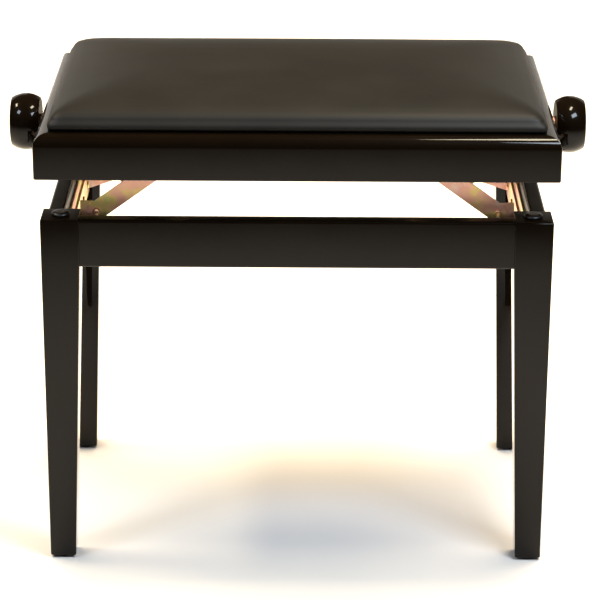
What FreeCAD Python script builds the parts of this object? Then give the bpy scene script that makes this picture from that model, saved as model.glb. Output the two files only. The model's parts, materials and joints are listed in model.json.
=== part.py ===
import FreeCAD, Part

import math
import os

from FreeCAD import Placement, Rotation, Vector

# Height-adjustable piano bench, in millimetres.
# Origin: on the floor, under the middle of the seat. +X runs along the spindle to the right-hand
# knob, +Y to the back, +Z up. Everything is drawn at the rest height.
# The lift is a pair of half scissors: each long arm runs from a pin on the base to a threaded cross
# bar on the spindle, and a short link joins the arm's middle to the seat straight above the lower
# pin, so the seat goes up and down without leaving the vertical.

# ---- driving dimensions: seat frame ----
SEAT_WIDTH = 550.0
SEAT_DEPTH = 335.0
SEAT_BOTTOM_Z = 442.0
SEAT_RAIL_HEIGHT = 48.0
SEAT_RAIL_THICKNESS = 20.0
SEAT_EDGE_RADIUS = 13.0
SEAT_LOWER_EDGE_RADIUS = 1.5
SEAT_CORNER_RADIUS = 2.5
REBATE_WIDTH = 5.0
BOARD_THICKNESS = 9.0
BOARD_CLEARANCE = 0.5
BLOCK_LEG = 45.0
BLOCK_THICKNESS = 12.0
BLOCK_SCREW_SHARE = 0.3

# ---- driving dimensions: cushion ----
CUSHION_LIP = 0.5
CUSHION_CROWN = 35.0
CUSHION_CORNER_RADIUS = 12.0
CUSHION_FULLNESS = 2.6
CUSHION_RING_SHARES = (0.0, 0.013, 0.04, 0.09, 0.2, 0.4, 0.65)

# ---- driving dimensions: base ----
BASE_SET_IN_X = 4.5
BASE_SET_IN_Y = 7.5
LEG_TOP_Z = 395.0
LEG_SIZE = 40.5
LEG_FOOT_SIZE = 28.0
LEG_EDGE_RADIUS = 1.0
LEG_FOOT_CHAMFER = 2.0
RAIL_HEIGHT = 53.0
RAIL_THICKNESS = 18.0
RAIL_EDGE_RADIUS = 3.0
LONG_RAIL_INSET = 2.5
SIDE_RAIL_INSET = 5.5
DOWEL_RADIUS = 4.0
DOWEL_LENGTH = 30.0
DOWEL_END_GAP = 1.0
DOWEL_CHAMFER = 1.0
DOWEL_SHARES = (0.27, 0.73)
GLIDE_RADIUS = 10.0
GLIDE_THICKNESS = 2.5
GLIDE_NAIL_RADIUS = 1.25
GLIDE_NAIL_LENGTH = 12.0
GLIDE_NAIL_POINT = 2.0
GLIDE_NAIL_POINT_GAP = 0.5
GLIDE_EDGE = 1.0
BUMPER_RADIUS = 10.0
BUMPER_HEIGHT = 4.0
BUMPER_STEM_RADIUS = 3.0
BUMPER_STEM_LENGTH = 8.0

# ---- driving dimensions: lift ----
SHEET = 2.5
ARM_THICKNESS = 3.0
ARM_LENGTH = 105.0
ARM_WIDTH = 20.0
LINK_WIDTH = 16.0
SIDE_PLAY = 0.3
LOWER_PIN_FROM_LEG = 16.3
LOWER_PIN_BELOW_LEG_TOP = 2.0
SPINDLE_ABOVE_SEAT_BOTTOM = 13.0
EAR_RADIUS = 9.0
RIVET_RADIUS = 3.0
RIVET_HEAD_RADIUS = 4.1
RIVET_HEAD_HEIGHT = 2.2
RIVET_TAIL_RADIUS = 4.2
RIVET_TAIL_HEIGHT = 1.5
RIVET_TAIL_BORE_RADIUS = 2.0
RIVET_TAIL_BORE_DEPTH = 3.0
RUNNING_CLEARANCE = 0.05
SEATED_CLEARANCE = 0.03
BASE_WALL_BELOW_RAIL = 5.0
BASE_WALL_HEIGHT = 43.0
BASE_FOLD_HEIGHT = 29.0
BASE_FOLD_END_HEIGHT = 53.0
BASE_FOLD_END_LENGTH = 8.0
BASE_FOLD_RISE_LENGTH = 35.0
BASE_EAR_ABOVE_PIN = 10.5
BASE_EAR_SHOULDER = 1.0
BASE_EAR_SLOPE = 14.0
SEAT_BRACKET_HEIGHT = 22.0

# ---- driving dimensions: spindle and knobs ----
SPINDLE_RADIUS = 7.0
SPINDLE_WAIST_RADIUS = 5.8
JOURNAL_RADIUS = 5.0
NUT_BLOCK_SIZE = 22.0
NUT_BLOCK_LENGTH = 30.0
NUT_BAR_SIZE = 14.0
NUT_BAR_CHAMFER = 1.5
TRUNNION_RADIUS = 4.0
CLIP_RADIUS = 7.0
CLIP_THICKNESS = 1.2
THREAD_MARGIN = 4.0
THREAD_RUNOUT = 2.0
SPINDLE_END_CHAMFER = 0.8
LOWEST_GAP = 0.6
BUSH_RADIUS = 8.0
BUSH_FLANGE_RADIUS = 12.0
BUSH_FLANGE_THICKNESS = 2.0
COLLAR_RADIUS = 11.0
COLLAR_LENGTH = 12.0
GRUB_RADIUS = 2.5
GRUB_RECESS = 0.5
ROSE_RADIUS = 14.0
ROSE_THICKNESS = 2.0
ROSE_BEVEL = 2.5
FERRULE_RADIUS = 9.0
FERRULE_LENGTH = 5.0
KNOB_GAP = 8.0
KNOB_RADIUS = 31.5
KNOB_RIM_RADIUS = 26.5
KNOB_LENGTH = 31.5
KNOB_DOME = 2.0
KNOB_EDGE_RADIUS = 1.0
KNOB_BORE_DEPTH = 22.0
KNOB_BORE_GAP = 0.5

# ---- driving dimensions: wood screws ----
SCREW_RADIUS = 2.0
SCREW_HEAD_RADIUS = 4.2
SCREW_HEAD_HEIGHT = 2.0
BRACKET_SCREW_LENGTH = 16.0
BLOCK_SCREW_LENGTH = 18.0
SCREW_POINT = 4.0
INNER_SCREW_Y = 35.0
SCREW_FROM_EAR = 26.0

# ---- worked-out places ----
BASE_WIDTH = SEAT_WIDTH - 2 * BASE_SET_IN_X
BASE_DEPTH = SEAT_DEPTH - 2 * BASE_SET_IN_Y
SEAT_TOP_Z = SEAT_BOTTOM_Z + SEAT_RAIL_HEIGHT
REBATE_FROM_EDGE = SEAT_RAIL_THICKNESS - REBATE_WIDTH
SEAT_INNER_X = SEAT_WIDTH / 2 - SEAT_RAIL_THICKNESS
SEAT_INNER_Y = SEAT_DEPTH / 2 - SEAT_RAIL_THICKNESS
BOARD_BOTTOM_Z = SEAT_TOP_Z - BOARD_THICKNESS
LEG_INNER_X = BASE_WIDTH / 2 - LEG_SIZE
LEG_INNER_Y = BASE_DEPTH / 2 - LEG_SIZE
LEG_MID_X = BASE_WIDTH / 2 - LEG_SIZE / 2
LEG_MID_Y = BASE_DEPTH / 2 - LEG_SIZE / 2
RAIL_BOTTOM_Z = LEG_TOP_Z - RAIL_HEIGHT
LONG_RAIL_OUTER_Y = BASE_DEPTH / 2 - LONG_RAIL_INSET
SIDE_RAIL_OUTER_X = BASE_WIDTH / 2 - SIDE_RAIL_INSET
SIDE_RAIL_INNER_X = SIDE_RAIL_OUTER_X - RAIL_THICKNESS
LOWER_PIN_X = LEG_INNER_X - LOWER_PIN_FROM_LEG
LOWER_PIN_Z = LEG_TOP_Z - LOWER_PIN_BELOW_LEG_TOP
SPINDLE_Z = SEAT_BOTTOM_Z + SPINDLE_ABOVE_SEAT_BOTTOM
ARM_REST_ANGLE = math.asin((SPINDLE_Z - LOWER_PIN_Z) / ARM_LENGTH)
NUT_X = LOWER_PIN_X - ARM_LENGTH * math.cos(ARM_REST_ANGLE)
SPINDLE_LOWEST_Z = LEG_TOP_Z + BUMPER_HEIGHT + LOWEST_GAP + SPINDLE_ABOVE_SEAT_BOTTOM
ARM_LOWEST_ANGLE = math.asin((SPINDLE_LOWEST_Z - LOWER_PIN_Z) / ARM_LENGTH)
NUT_NEAREST_X = LOWER_PIN_X - ARM_LENGTH * math.cos(ARM_LOWEST_ANGLE)
MID_PIN_X = (LOWER_PIN_X + NUT_X) / 2
MID_PIN_Z = (LOWER_PIN_Z + SPINDLE_Z) / 2

# Layers of the front half of the lift, as distances from the middle of the bench, outermost last.
SEAT_EAR_Y = LEG_INNER_Y - SHEET - SIDE_PLAY - SHEET
LINK_Y = LEG_INNER_Y - SHEET
ARM_Y = LEG_INNER_Y + SIDE_PLAY
ARM_FACE_Y = ARM_Y + ARM_THICKNESS

SEAT_BRACKET_X = SEAT_INNER_X - SHEET
BUSH_FACE_X = SEAT_BRACKET_X - BUSH_FLANGE_THICKNESS
COLLAR_OUTER_X = BUSH_FACE_X - SIDE_PLAY
COLLAR_INNER_X = COLLAR_OUTER_X - COLLAR_LENGTH
KNOB_INNER_X = SEAT_WIDTH / 2 + KNOB_GAP
SPINDLE_END_X = KNOB_INNER_X + KNOB_BORE_DEPTH - KNOB_BORE_GAP

X_AXIS = Vector(1, 0, 0)
Y_AXIS = Vector(0, 1, 0)
Z_AXIS = Vector(0, 0, 1)
SIDES = {"left": -1, "right": 1}
ENDS = {"front": -1, "rear": 1}
OUT = "parts"
TINY = 1e-6


# ---- small tools ----
def block(x, y, z):
    """A box between the two values of each pair."""
    size = [abs(pair[1] - pair[0]) for pair in (x, y, z)]
    return Part.makeBox(*size, Vector(min(x), min(y), min(z)))


def frustum(lower, upper):
    """A solid between two outlines of the same number of corners, with flat sides."""
    count = len(lower)
    rings = [lower, upper]
    for i in range(count):
        rings.append([lower[i], lower[(i + 1) % count], upper[(i + 1) % count], upper[i]])
    return Part.Solid(Part.Shell([Part.Face(Part.makePolygon([*ring, ring[0]])) for ring in rings]))


def rod(start, direction, radius, length):
    """A cylinder from a point, along a direction."""
    return Part.makeCylinder(radius, length, start, direction)


def prism(points, direction):
    """A polygon swept along a direction."""
    return Part.Face(Part.makePolygon([*points, points[0]])).extrude(direction)


def turned(profile, centre, direction):
    """Turns a closed profile of (radius, distance along the axis) points about an axis."""
    points = [Vector(radius, 0, along) for radius, along in profile]
    solid = Part.Face(Part.makePolygon([*points, points[0]])).revolve(Vector(), Z_AXIS, 360)
    return placed(solid, centre, direction)


def placed(shape, centre, direction):
    """Moves a shape made on the Z axis to a point and a direction."""
    shape.Placement = Placement(centre, Rotation(Z_AXIS, direction))
    return shape


def mirrored(shape, side):
    """The shape as drawn for the right (1), or its mirror image for the left (-1)."""
    return shape if side > 0 else shape.mirror(Vector(), X_AXIS)


def flipped(shape, end):
    """The shape as drawn for the rear (1), or its mirror image for the front (-1)."""
    return shape if end > 0 else shape.mirror(Vector(), Y_AXIS)


def all_corners(shape):
    """A shape drawn for the right rear corner, at all four corners."""
    return [flipped(mirrored(shape, side), end) for side in SIDES.values() for end in ENDS.values()]


def edges_along(shape, axis):
    """The straight edges of a shape that run along an axis."""
    found = []
    for edge in shape.Edges:
        straight = isinstance(edge.Curve, Part.Line)
        if straight and abs(edge.tangentAt(edge.FirstParameter).dot(axis)) > 1 - TINY:
            found.append(edge)
    return found


def round_edges(shape):
    """The circular edges of a shape."""
    return [e for e in shape.Edges if not e.Degenerated and isinstance(e.Curve, Part.Circle)]


def save(name, *solids):
    """Writes one sub-part, of one or more separate solids."""
    kept = [solid for shape in solids for solid in shape.Solids]
    for solid in kept:
        if not solid.isValid():
            raise ValueError(name + " has a solid that isn't valid")
    shape = kept[0] if len(kept) == 1 else Part.makeCompound(kept)
    shape.exportStep(os.path.join(OUT, name + ".step"))


def wood_screw(length, seat, direction):
    """A pan-head wood screw whose head bears on a seat point; its shank runs along a direction."""
    profile = [
        (0, -SCREW_HEAD_HEIGHT),
        (SCREW_HEAD_RADIUS * 0.7, -SCREW_HEAD_HEIGHT),
        (SCREW_HEAD_RADIUS, -SCREW_HEAD_HEIGHT * 0.45),
        (SCREW_HEAD_RADIUS, 0),
        (SCREW_RADIUS, 0),
        (SCREW_RADIUS, length - SCREW_POINT),
        (0, length),
    ]
    return turned(profile, seat, direction)


def screw_hole(seat, direction, length):
    """The hole that a wood screw's shank fills, from its head's seat."""
    return rod(seat, direction, SCREW_RADIUS + SEATED_CLEARANCE, length + SEATED_CLEARANCE)


def rivet(outer_y, inner_y, x, z, head_outside=True):
    """A semi-tubular rivet between two faces of the rear half, with a domed head and a rolled end."""
    grip = outer_y - inner_y
    bore_floor = grip + RIVET_TAIL_HEIGHT - RIVET_TAIL_BORE_DEPTH
    profile = [
        (0, -RIVET_HEAD_HEIGHT),
        (RIVET_HEAD_RADIUS * 0.55, -RIVET_HEAD_HEIGHT * 0.92),
        (RIVET_HEAD_RADIUS * 0.85, -RIVET_HEAD_HEIGHT * 0.6),
        (RIVET_HEAD_RADIUS, 0),
        (RIVET_RADIUS, 0),
        (RIVET_RADIUS, grip),
        (RIVET_TAIL_RADIUS, grip),
        (RIVET_TAIL_RADIUS * 0.9, grip + RIVET_TAIL_HEIGHT * 0.8),
        (RIVET_TAIL_RADIUS * 0.7, grip + RIVET_TAIL_HEIGHT),
        (RIVET_TAIL_BORE_RADIUS, grip + RIVET_TAIL_HEIGHT * 0.7),
        (RIVET_TAIL_BORE_RADIUS, bore_floor),
        (0, bore_floor),
    ]
    if head_outside:
        return turned(profile, Vector(x, outer_y, z), -Y_AXIS)
    return turned(profile, Vector(x, inner_y, z), Y_AXIS)


def strap(start, end, width, y, thickness):
    """A flat bar with round ends, standing between two pin centres given as (x, z)."""
    along = Vector(end[0] - start[0], 0, end[1] - start[1])
    side = along.normalize().cross(Y_AXIS) * (width / 2)
    first = Vector(start[0], y, start[1])
    last = Vector(end[0], y, end[1])
    tip = Part.Arc(last + side, last + along * (width / 2), last - side)
    heel = Part.Arc(first - side, first - along * (width / 2), first + side)
    outline = [
        Part.LineSegment(first + side, last + side),
        tip,
        Part.LineSegment(last - side, first - side),
        heel,
    ]
    return Part.Face(Part.Wire([piece.toShape() for piece in outline])).extrude(Y_AXIS * thickness)


def pin_hole(x, z, radius):
    """A hole right through the rear half of the lift, along Y."""
    return rod(Vector(x, SEAT_EAR_Y - SHEET, z), Y_AXIS, radius, ARM_FACE_Y - SEAT_EAR_Y + 2 * SHEET)


# ---- base ----
def leg():
    """Right rear leg: square down to the rails, then tapered on its two inner faces, with its holes."""
    outer_x, outer_y = BASE_WIDTH / 2, BASE_DEPTH / 2
    head = block((LEG_INNER_X, outer_x), (LEG_INNER_Y, outer_y), (RAIL_BOTTOM_Z, LEG_TOP_Z))
    taper = frustum(leg_outline(LEG_FOOT_SIZE, GLIDE_THICKNESS), leg_outline(LEG_SIZE, RAIL_BOTTOM_Z))
    solid = head.fuse(taper).removeSplitter()
    foot = [e for e in solid.Edges if max(v.Z for v in e.Vertexes) < GLIDE_THICKNESS + TINY]
    solid = solid.makeChamfer(LEG_FOOT_CHAMFER, foot)
    crown = [e for e in solid.Edges if min(v.Z for v in e.Vertexes) > LEG_TOP_Z - TINY]
    outer = [e for e in edges_along(solid, Z_AXIS) if e.Length > RAIL_HEIGHT / 2 and is_free_leg_edge(e)]
    solid = solid.makeFillet(LEG_EDGE_RADIUS, crown + outer)
    for hole in leg_holes():
        solid = solid.cut(hole)
    return solid


def leg_outline(size, z):
    """The right rear leg's square outline of a size, level at a height."""
    outer_x, outer_y = BASE_WIDTH / 2, BASE_DEPTH / 2
    return [
        Vector(outer_x, outer_y, z),
        Vector(outer_x - size, outer_y, z),
        Vector(outer_x - size, outer_y - size, z),
        Vector(outer_x, outer_y - size, z),
    ]


def is_free_leg_edge(edge):
    """Whether an upright edge of the leg is its outermost corner, which no rail meets."""
    middle = edge.valueAt((edge.FirstParameter + edge.LastParameter) / 2)
    return middle.x > BASE_WIDTH / 2 - TINY and middle.y > BASE_DEPTH / 2 - TINY


def leg_holes():
    """Blind holes of the right rear leg, for its dowels, bumper stem and glide nail."""
    depth = DOWEL_LENGTH / 2 + DOWEL_END_GAP
    radius = DOWEL_RADIUS + SEATED_CLEARANCE
    holes = [rod(start, way, radius, depth) for start, way in dowel_joints()]
    foot_middle = BASE_WIDTH / 2 - LEG_FOOT_SIZE / 2, BASE_DEPTH / 2 - LEG_FOOT_SIZE / 2
    nail = rod(
        Vector(*foot_middle, GLIDE_THICKNESS), Z_AXIS, GLIDE_NAIL_RADIUS + SEATED_CLEARANCE, GLIDE_NAIL_LENGTH
    )
    stem = rod(
        Vector(LEG_MID_X, LEG_MID_Y, LEG_TOP_Z),
        -Z_AXIS,
        BUMPER_STEM_RADIUS + SEATED_CLEARANCE,
        BUMPER_STEM_LENGTH + SEATED_CLEARANCE,
    )
    return [*holes, nail, stem]


def dowel_joints():
    """Where each dowel of the right rear corner enters the leg, and which way."""
    long_rail_mid_y = LONG_RAIL_OUTER_Y - RAIL_THICKNESS / 2
    side_rail_mid_x = SIDE_RAIL_OUTER_X - RAIL_THICKNESS / 2
    joints = []
    for share in DOWEL_SHARES:
        z = RAIL_BOTTOM_Z + RAIL_HEIGHT * share
        joints.append((Vector(LEG_INNER_X, long_rail_mid_y, z), X_AXIS))
        joints.append((Vector(side_rail_mid_x, LEG_INNER_Y, z), Y_AXIS))
    return joints


def dowels():
    """Every dowel of the base, half in a rail and half in a leg."""
    found = []
    for middle, way in dowel_joints():
        pin = rod(middle - way * (DOWEL_LENGTH / 2), way, DOWEL_RADIUS, DOWEL_LENGTH)
        pin = pin.makeChamfer(DOWEL_CHAMFER, round_edges(pin))
        found += all_corners(pin)
    return found


def dowel_sockets():
    """The halves of the dowel holes that lie in the rails, at all four corners."""
    depth = DOWEL_LENGTH / 2 + DOWEL_END_GAP
    found = []
    for middle, way in dowel_joints():
        found += all_corners(rod(middle, -way, DOWEL_RADIUS + SEATED_CLEARANCE, depth))
    return found


def base_rail(x, y, along):
    """A straight rail of the base with rounded long edges and its dowel holes."""
    solid = block(x, y, (RAIL_BOTTOM_Z, LEG_TOP_Z))
    solid = solid.makeFillet(RAIL_EDGE_RADIUS, edges_along(solid, along))
    for socket in dowel_sockets():
        if solid.BoundBox.intersect(socket.BoundBox):
            solid = solid.cut(socket)
    return solid


def long_rail():
    """Rear rail, between the two rear legs."""
    across = LONG_RAIL_OUTER_Y - RAIL_THICKNESS, LONG_RAIL_OUTER_Y
    return base_rail((-LEG_INNER_X, LEG_INNER_X), across, X_AXIS)


def side_rail():
    """Right side rail, with the pilot holes of its bracket's screws."""
    solid = base_rail((SIDE_RAIL_INNER_X, SIDE_RAIL_OUTER_X), (-LEG_INNER_Y, LEG_INNER_Y), Y_AXIS)
    for seat in base_screw_seats():
        solid = solid.cut(screw_hole(seat, X_AXIS, BRACKET_SCREW_LENGTH))
    return solid


def bumper():
    """Rubber bumper on the right rear leg: a low domed disc on a push-in stem."""
    profile = [
        (0, -BUMPER_STEM_LENGTH),
        (BUMPER_STEM_RADIUS, -BUMPER_STEM_LENGTH),
        (BUMPER_STEM_RADIUS, 0),
        (BUMPER_RADIUS, 0),
        (BUMPER_RADIUS, BUMPER_HEIGHT * 0.55),
        (BUMPER_RADIUS * 0.95, BUMPER_HEIGHT * 0.8),
        (BUMPER_RADIUS * 0.82, BUMPER_HEIGHT * 0.97),
        (BUMPER_RADIUS * 0.65, BUMPER_HEIGHT),
        (0, BUMPER_HEIGHT),
    ]
    return turned(profile, Vector(LEG_MID_X, LEG_MID_Y, LEG_TOP_Z), Z_AXIS)


def glide():
    """Nail-on glide under the right rear leg."""
    profile = [
        (0, 0),
        (GLIDE_RADIUS - GLIDE_EDGE, 0),
        (GLIDE_RADIUS, GLIDE_EDGE),
        (GLIDE_RADIUS, GLIDE_THICKNESS),
        (GLIDE_NAIL_RADIUS, GLIDE_THICKNESS),
        (GLIDE_NAIL_RADIUS, GLIDE_THICKNESS + GLIDE_NAIL_LENGTH - GLIDE_NAIL_POINT),
        (0, GLIDE_THICKNESS + GLIDE_NAIL_LENGTH - GLIDE_NAIL_POINT_GAP),
    ]
    middle = Vector(BASE_WIDTH / 2 - LEG_FOOT_SIZE / 2, BASE_DEPTH / 2 - LEG_FOOT_SIZE / 2, 0)
    return turned(profile, middle, Z_AXIS)


def screw_rows(ear_y):
    """How far from the spindle a bracket's screws are, on each side of it, for ears at a distance."""
    return INNER_SCREW_Y, ear_y - SCREW_FROM_EAR


def base_screw_seats():
    """Where the heads of the right base bracket's screws bear on its fold."""
    z = RAIL_BOTTOM_Z - BASE_WALL_BELOW_RAIL + BASE_FOLD_HEIGHT / 2
    x = SIDE_RAIL_INNER_X - 2 * SHEET
    return [Vector(x, y * way, z) for y in screw_rows(LINK_Y) for way in (-1, 1)]


def base_bracket():
    """Right base bracket: a wall on the side rail, folded double below, with an ear at each end."""
    outer_x = SIDE_RAIL_INNER_X
    bottom = RAIL_BOTTOM_Z - BASE_WALL_BELOW_RAIL
    half = LEG_INNER_Y - SHEET
    wall = block((outer_x - SHEET, outer_x), (-half, half), (bottom, bottom + BASE_WALL_HEIGHT))
    ear = base_ear(bottom, outer_x)
    solid = wall.multiFuse([base_fold(bottom, outer_x, half), ear, ear.mirror(Vector(), Y_AXIS)])
    for seat in base_screw_seats():
        solid = solid.cut(screw_hole(seat - X_AXIS * SHEET, X_AXIS, 4 * SHEET))
    return solid.removeSplitter()


def base_fold(bottom, outer_x, half):
    """The second layer of the right base bracket's wall. It rises at each end to carry the ear."""
    x = outer_x - 2 * SHEET
    level, end_level = bottom + BASE_FOLD_HEIGHT, bottom + BASE_FOLD_END_HEIGHT
    end_y = half - BASE_FOLD_END_LENGTH
    rise_y = end_y - BASE_FOLD_RISE_LENGTH
    rear = [(half, bottom), (half, end_level), (end_y, end_level), (rise_y, level)]
    front = [(-y, z) for y, z in reversed(rear)]
    return prism([Vector(x, y, z) for y, z in rear + front], X_AXIS * SHEET)


def base_ear(bottom, outer_x):
    """Rear ear of the right base bracket, with its pin hole. Its top stands beside the leg."""
    tip_x = LOWER_PIN_X - EAR_RADIUS
    top = LOWER_PIN_Z + BASE_EAR_ABOVE_PIN
    shoulder_x = LEG_INNER_X + BASE_EAR_SHOULDER
    shoulder_z = bottom + BASE_FOLD_END_HEIGHT
    outline = [
        Vector(outer_x, LINK_Y, bottom),
        Vector(outer_x, LINK_Y, shoulder_z),
        Vector(shoulder_x, LINK_Y, shoulder_z),
        Vector(shoulder_x, LINK_Y, top),
        Vector(tip_x, LINK_Y, top),
        Vector(tip_x, LINK_Y, bottom + BASE_EAR_SLOPE),
    ]
    plate = prism(outline, Y_AXIS * SHEET)
    tip = [
        e
        for e in edges_along(plate, Y_AXIS)
        if e.Vertexes[0].X < tip_x + TINY and e.Vertexes[0].Z > LOWER_PIN_Z
    ]
    plate = plate.makeFillet(EAR_RADIUS - 0.01, tip)
    return plate.cut(pin_hole(LOWER_PIN_X, LOWER_PIN_Z, RIVET_RADIUS + SEATED_CLEARANCE))


def lower_rivet(side):
    """Rear lower rivet, on which a long arm turns. Heads face outwards on the left, inwards on the right."""
    head_outside = side < 0
    shown = ARM_FACE_Y + SIDE_PLAY
    return rivet(shown, LINK_Y, LOWER_PIN_X, LOWER_PIN_Z, head_outside)


# ---- lift ----
def long_arm():
    """Right rear long arm, from the lower pin to the cross bar, with a countersunk hole in its middle."""
    solid = strap((LOWER_PIN_X, LOWER_PIN_Z), (NUT_X, SPINDLE_Z), ARM_WIDTH, ARM_Y, ARM_THICKNESS)
    solid = solid.cut(pin_hole(LOWER_PIN_X, LOWER_PIN_Z, RIVET_RADIUS + RUNNING_CLEARANCE))
    solid = solid.cut(pin_hole(NUT_X, SPINDLE_Z, TRUNNION_RADIUS + RUNNING_CLEARANCE))
    return solid.cut(mid_rivet(SEATED_CLEARANCE))


def mid_rivet(grow=0.0):
    """Right rear middle rivet, flush in the arm, rolled over behind the link. Grown, it is its own hole."""
    radius = RIVET_RADIUS + grow
    flush_radius = RIVET_RADIUS + ARM_THICKNESS * 0.6 + grow
    grip = ARM_FACE_Y - LINK_Y + SIDE_PLAY
    tail = RIVET_TAIL_RADIUS if not grow else radius
    profile = [
        (0, 0),
        (flush_radius, 0),
        (radius, ARM_THICKNESS * 0.6),
        (radius, grip),
        (tail, grip),
        (tail, grip + RIVET_TAIL_HEIGHT),
        (0, grip + RIVET_TAIL_HEIGHT),
    ]
    return turned(profile, Vector(MID_PIN_X, ARM_FACE_Y, MID_PIN_Z), -Y_AXIS)


def short_link():
    """Right rear short link, from the long arm's middle to the seat bracket."""
    solid = strap((MID_PIN_X, MID_PIN_Z), (LOWER_PIN_X, SPINDLE_Z), LINK_WIDTH, LINK_Y, SHEET)
    for x, z in ((MID_PIN_X, MID_PIN_Z), (LOWER_PIN_X, SPINDLE_Z)):
        solid = solid.cut(pin_hole(x, z, RIVET_RADIUS + RUNNING_CLEARANCE))
    return solid


def nut_bar():
    """Right cross bar: a square bar with a threaded block in its middle and a trunnion at each end."""

    def square(size, reach):
        half = size / 2
        solid = block((NUT_X - half, NUT_X + half), (-reach, reach), (SPINDLE_Z - half, SPINDLE_Z + half))
        return solid.makeChamfer(NUT_BAR_CHAMFER, edges_along(solid, Y_AXIS))

    reach = ARM_FACE_Y + SIDE_PLAY + CLIP_THICKNESS + 1.5
    trunnions = rod(Vector(NUT_X, -reach, SPINDLE_Z), Y_AXIS, TRUNNION_RADIUS, 2 * reach)
    nut_block = square(NUT_BLOCK_SIZE, NUT_BLOCK_LENGTH / 2)
    solid = nut_block.multiFuse([square(NUT_BAR_SIZE, LEG_INNER_Y), trunnions])
    start = Vector(NUT_X - NUT_BLOCK_SIZE, 0, SPINDLE_Z)
    return solid.cut(rod(start, X_AXIS, SPINDLE_RADIUS + RUNNING_CLEARANCE, 2 * NUT_BLOCK_SIZE))


def bar_clip():
    """Rear retaining clip on a right trunnion: an open ring outside the arm."""
    face = ARM_FACE_Y + SIDE_PLAY
    start = Vector(NUT_X, face, SPINDLE_Z)
    ring = rod(start, Y_AXIS, CLIP_RADIUS, CLIP_THICKNESS)
    ring = ring.cut(rod(start, Y_AXIS, TRUNNION_RADIUS + SEATED_CLEARANCE, CLIP_THICKNESS))
    mouth = block(
        (NUT_X - TRUNNION_RADIUS * 0.7, NUT_X + TRUNNION_RADIUS * 0.7),
        (face, face + CLIP_THICKNESS),
        (SPINDLE_Z - CLIP_RADIUS, SPINDLE_Z - 1.0),
    )
    return ring.cut(mouth)


# ---- seat ----
def seat_section(outer, inner, place):
    """The seat rail's profile as a face, moulded outside, rebated inside; place makes (across, z) a point."""
    inward = 1 if inner > outer else -1
    low = SEAT_LOWER_EDGE_RADIUS
    bend = math.sqrt(0.5)

    def at(across, z):
        return place(outer + inward * across, z)

    corners = [
        at(0, SEAT_BOTTOM_Z + low),
        at(0, SEAT_TOP_Z - SEAT_EDGE_RADIUS),
        at(SEAT_EDGE_RADIUS, SEAT_TOP_Z),
        at(REBATE_FROM_EDGE, SEAT_TOP_Z),
        at(REBATE_FROM_EDGE, BOARD_BOTTOM_Z),
        at(SEAT_RAIL_THICKNESS, BOARD_BOTTOM_Z),
        at(SEAT_RAIL_THICKNESS, SEAT_BOTTOM_Z),
        at(low, SEAT_BOTTOM_Z),
    ]
    shoulder = SEAT_EDGE_RADIUS * (1 - bend)
    moulding = Part.Arc(corners[1], at(shoulder, SEAT_TOP_Z - shoulder), corners[2])
    lower = Part.Arc(corners[7], at(low * (1 - bend), SEAT_BOTTOM_Z + low * (1 - bend)), corners[0])
    pieces = [Part.LineSegment(corners[0], corners[1]), moulding]
    pieces += [Part.LineSegment(corners[i], corners[i + 1]) for i in range(2, 7)]
    pieces.append(lower)
    return Part.Face(Part.Wire([piece.toShape() for piece in pieces]))


def mitre(corner_pairs):
    """A plan outline as tall as the seat frame, which gives a rail its mitred ends."""
    points = [Vector(x, y, SEAT_BOTTOM_Z - 1) for x, y in corner_pairs]
    return prism(points, Z_AXIS * (SEAT_RAIL_HEIGHT + 2))


def rounded_plan():
    """The seat frame's outline with its corners eased."""
    half_x, half_y = SEAT_WIDTH / 2, SEAT_DEPTH / 2
    solid = block((-half_x, half_x), (-half_y, half_y), (SEAT_BOTTOM_Z - 1, SEAT_TOP_Z + 1))
    return solid.makeFillet(SEAT_CORNER_RADIUS, edges_along(solid, Z_AXIS))


def seat_long_rail():
    """Rear rail of the seat frame."""
    half_x, half_y = SEAT_WIDTH / 2, SEAT_DEPTH / 2
    face = seat_section(half_y, SEAT_INNER_Y, lambda across, z: Vector(-half_x, across, z))
    plan = [(-half_x, half_y), (half_x, half_y), (SEAT_INNER_X, SEAT_INNER_Y), (-SEAT_INNER_X, SEAT_INNER_Y)]
    return face.extrude(X_AXIS * SEAT_WIDTH).common(mitre(plan)).common(rounded_plan())


def seat_side_rail():
    """Right rail of the seat frame, with the spindle bush's hole and the bracket's pilot holes."""
    half_x, half_y = SEAT_WIDTH / 2, SEAT_DEPTH / 2
    face = seat_section(half_x, SEAT_INNER_X, lambda across, z: Vector(across, -half_y, z))
    plan = [(half_x, -half_y), (half_x, half_y), (SEAT_INNER_X, SEAT_INNER_Y), (SEAT_INNER_X, -SEAT_INNER_Y)]
    solid = face.extrude(Y_AXIS * SEAT_DEPTH).common(mitre(plan)).common(rounded_plan())
    solid = solid.cut(bush_hole())
    for seat in seat_screw_seats():
        solid = solid.cut(screw_hole(seat, X_AXIS, BRACKET_SCREW_LENGTH))
    return solid


def bush_hole():
    """The hole for the right spindle bush, through the seat bracket and the side rail."""
    start = Vector(SEAT_BRACKET_X - SHEET, 0, SPINDLE_Z)
    return rod(start, X_AXIS, BUSH_RADIUS + SEATED_CLEARANCE, SEAT_RAIL_THICKNESS + 3 * SHEET)


def seat_board():
    """Plywood board in the rebate of the seat frame, with its screws' pilot holes."""
    half_x = SEAT_INNER_X + REBATE_WIDTH - BOARD_CLEARANCE
    half_y = SEAT_INNER_Y + REBATE_WIDTH - BOARD_CLEARANCE
    solid = block((-half_x, half_x), (-half_y, half_y), (BOARD_BOTTOM_Z, SEAT_TOP_Z))
    for hole in all_corners(screw_hole(block_screw_seat(), Z_AXIS, BLOCK_SCREW_LENGTH)):
        solid = solid.cut(hole)
    return solid


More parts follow.
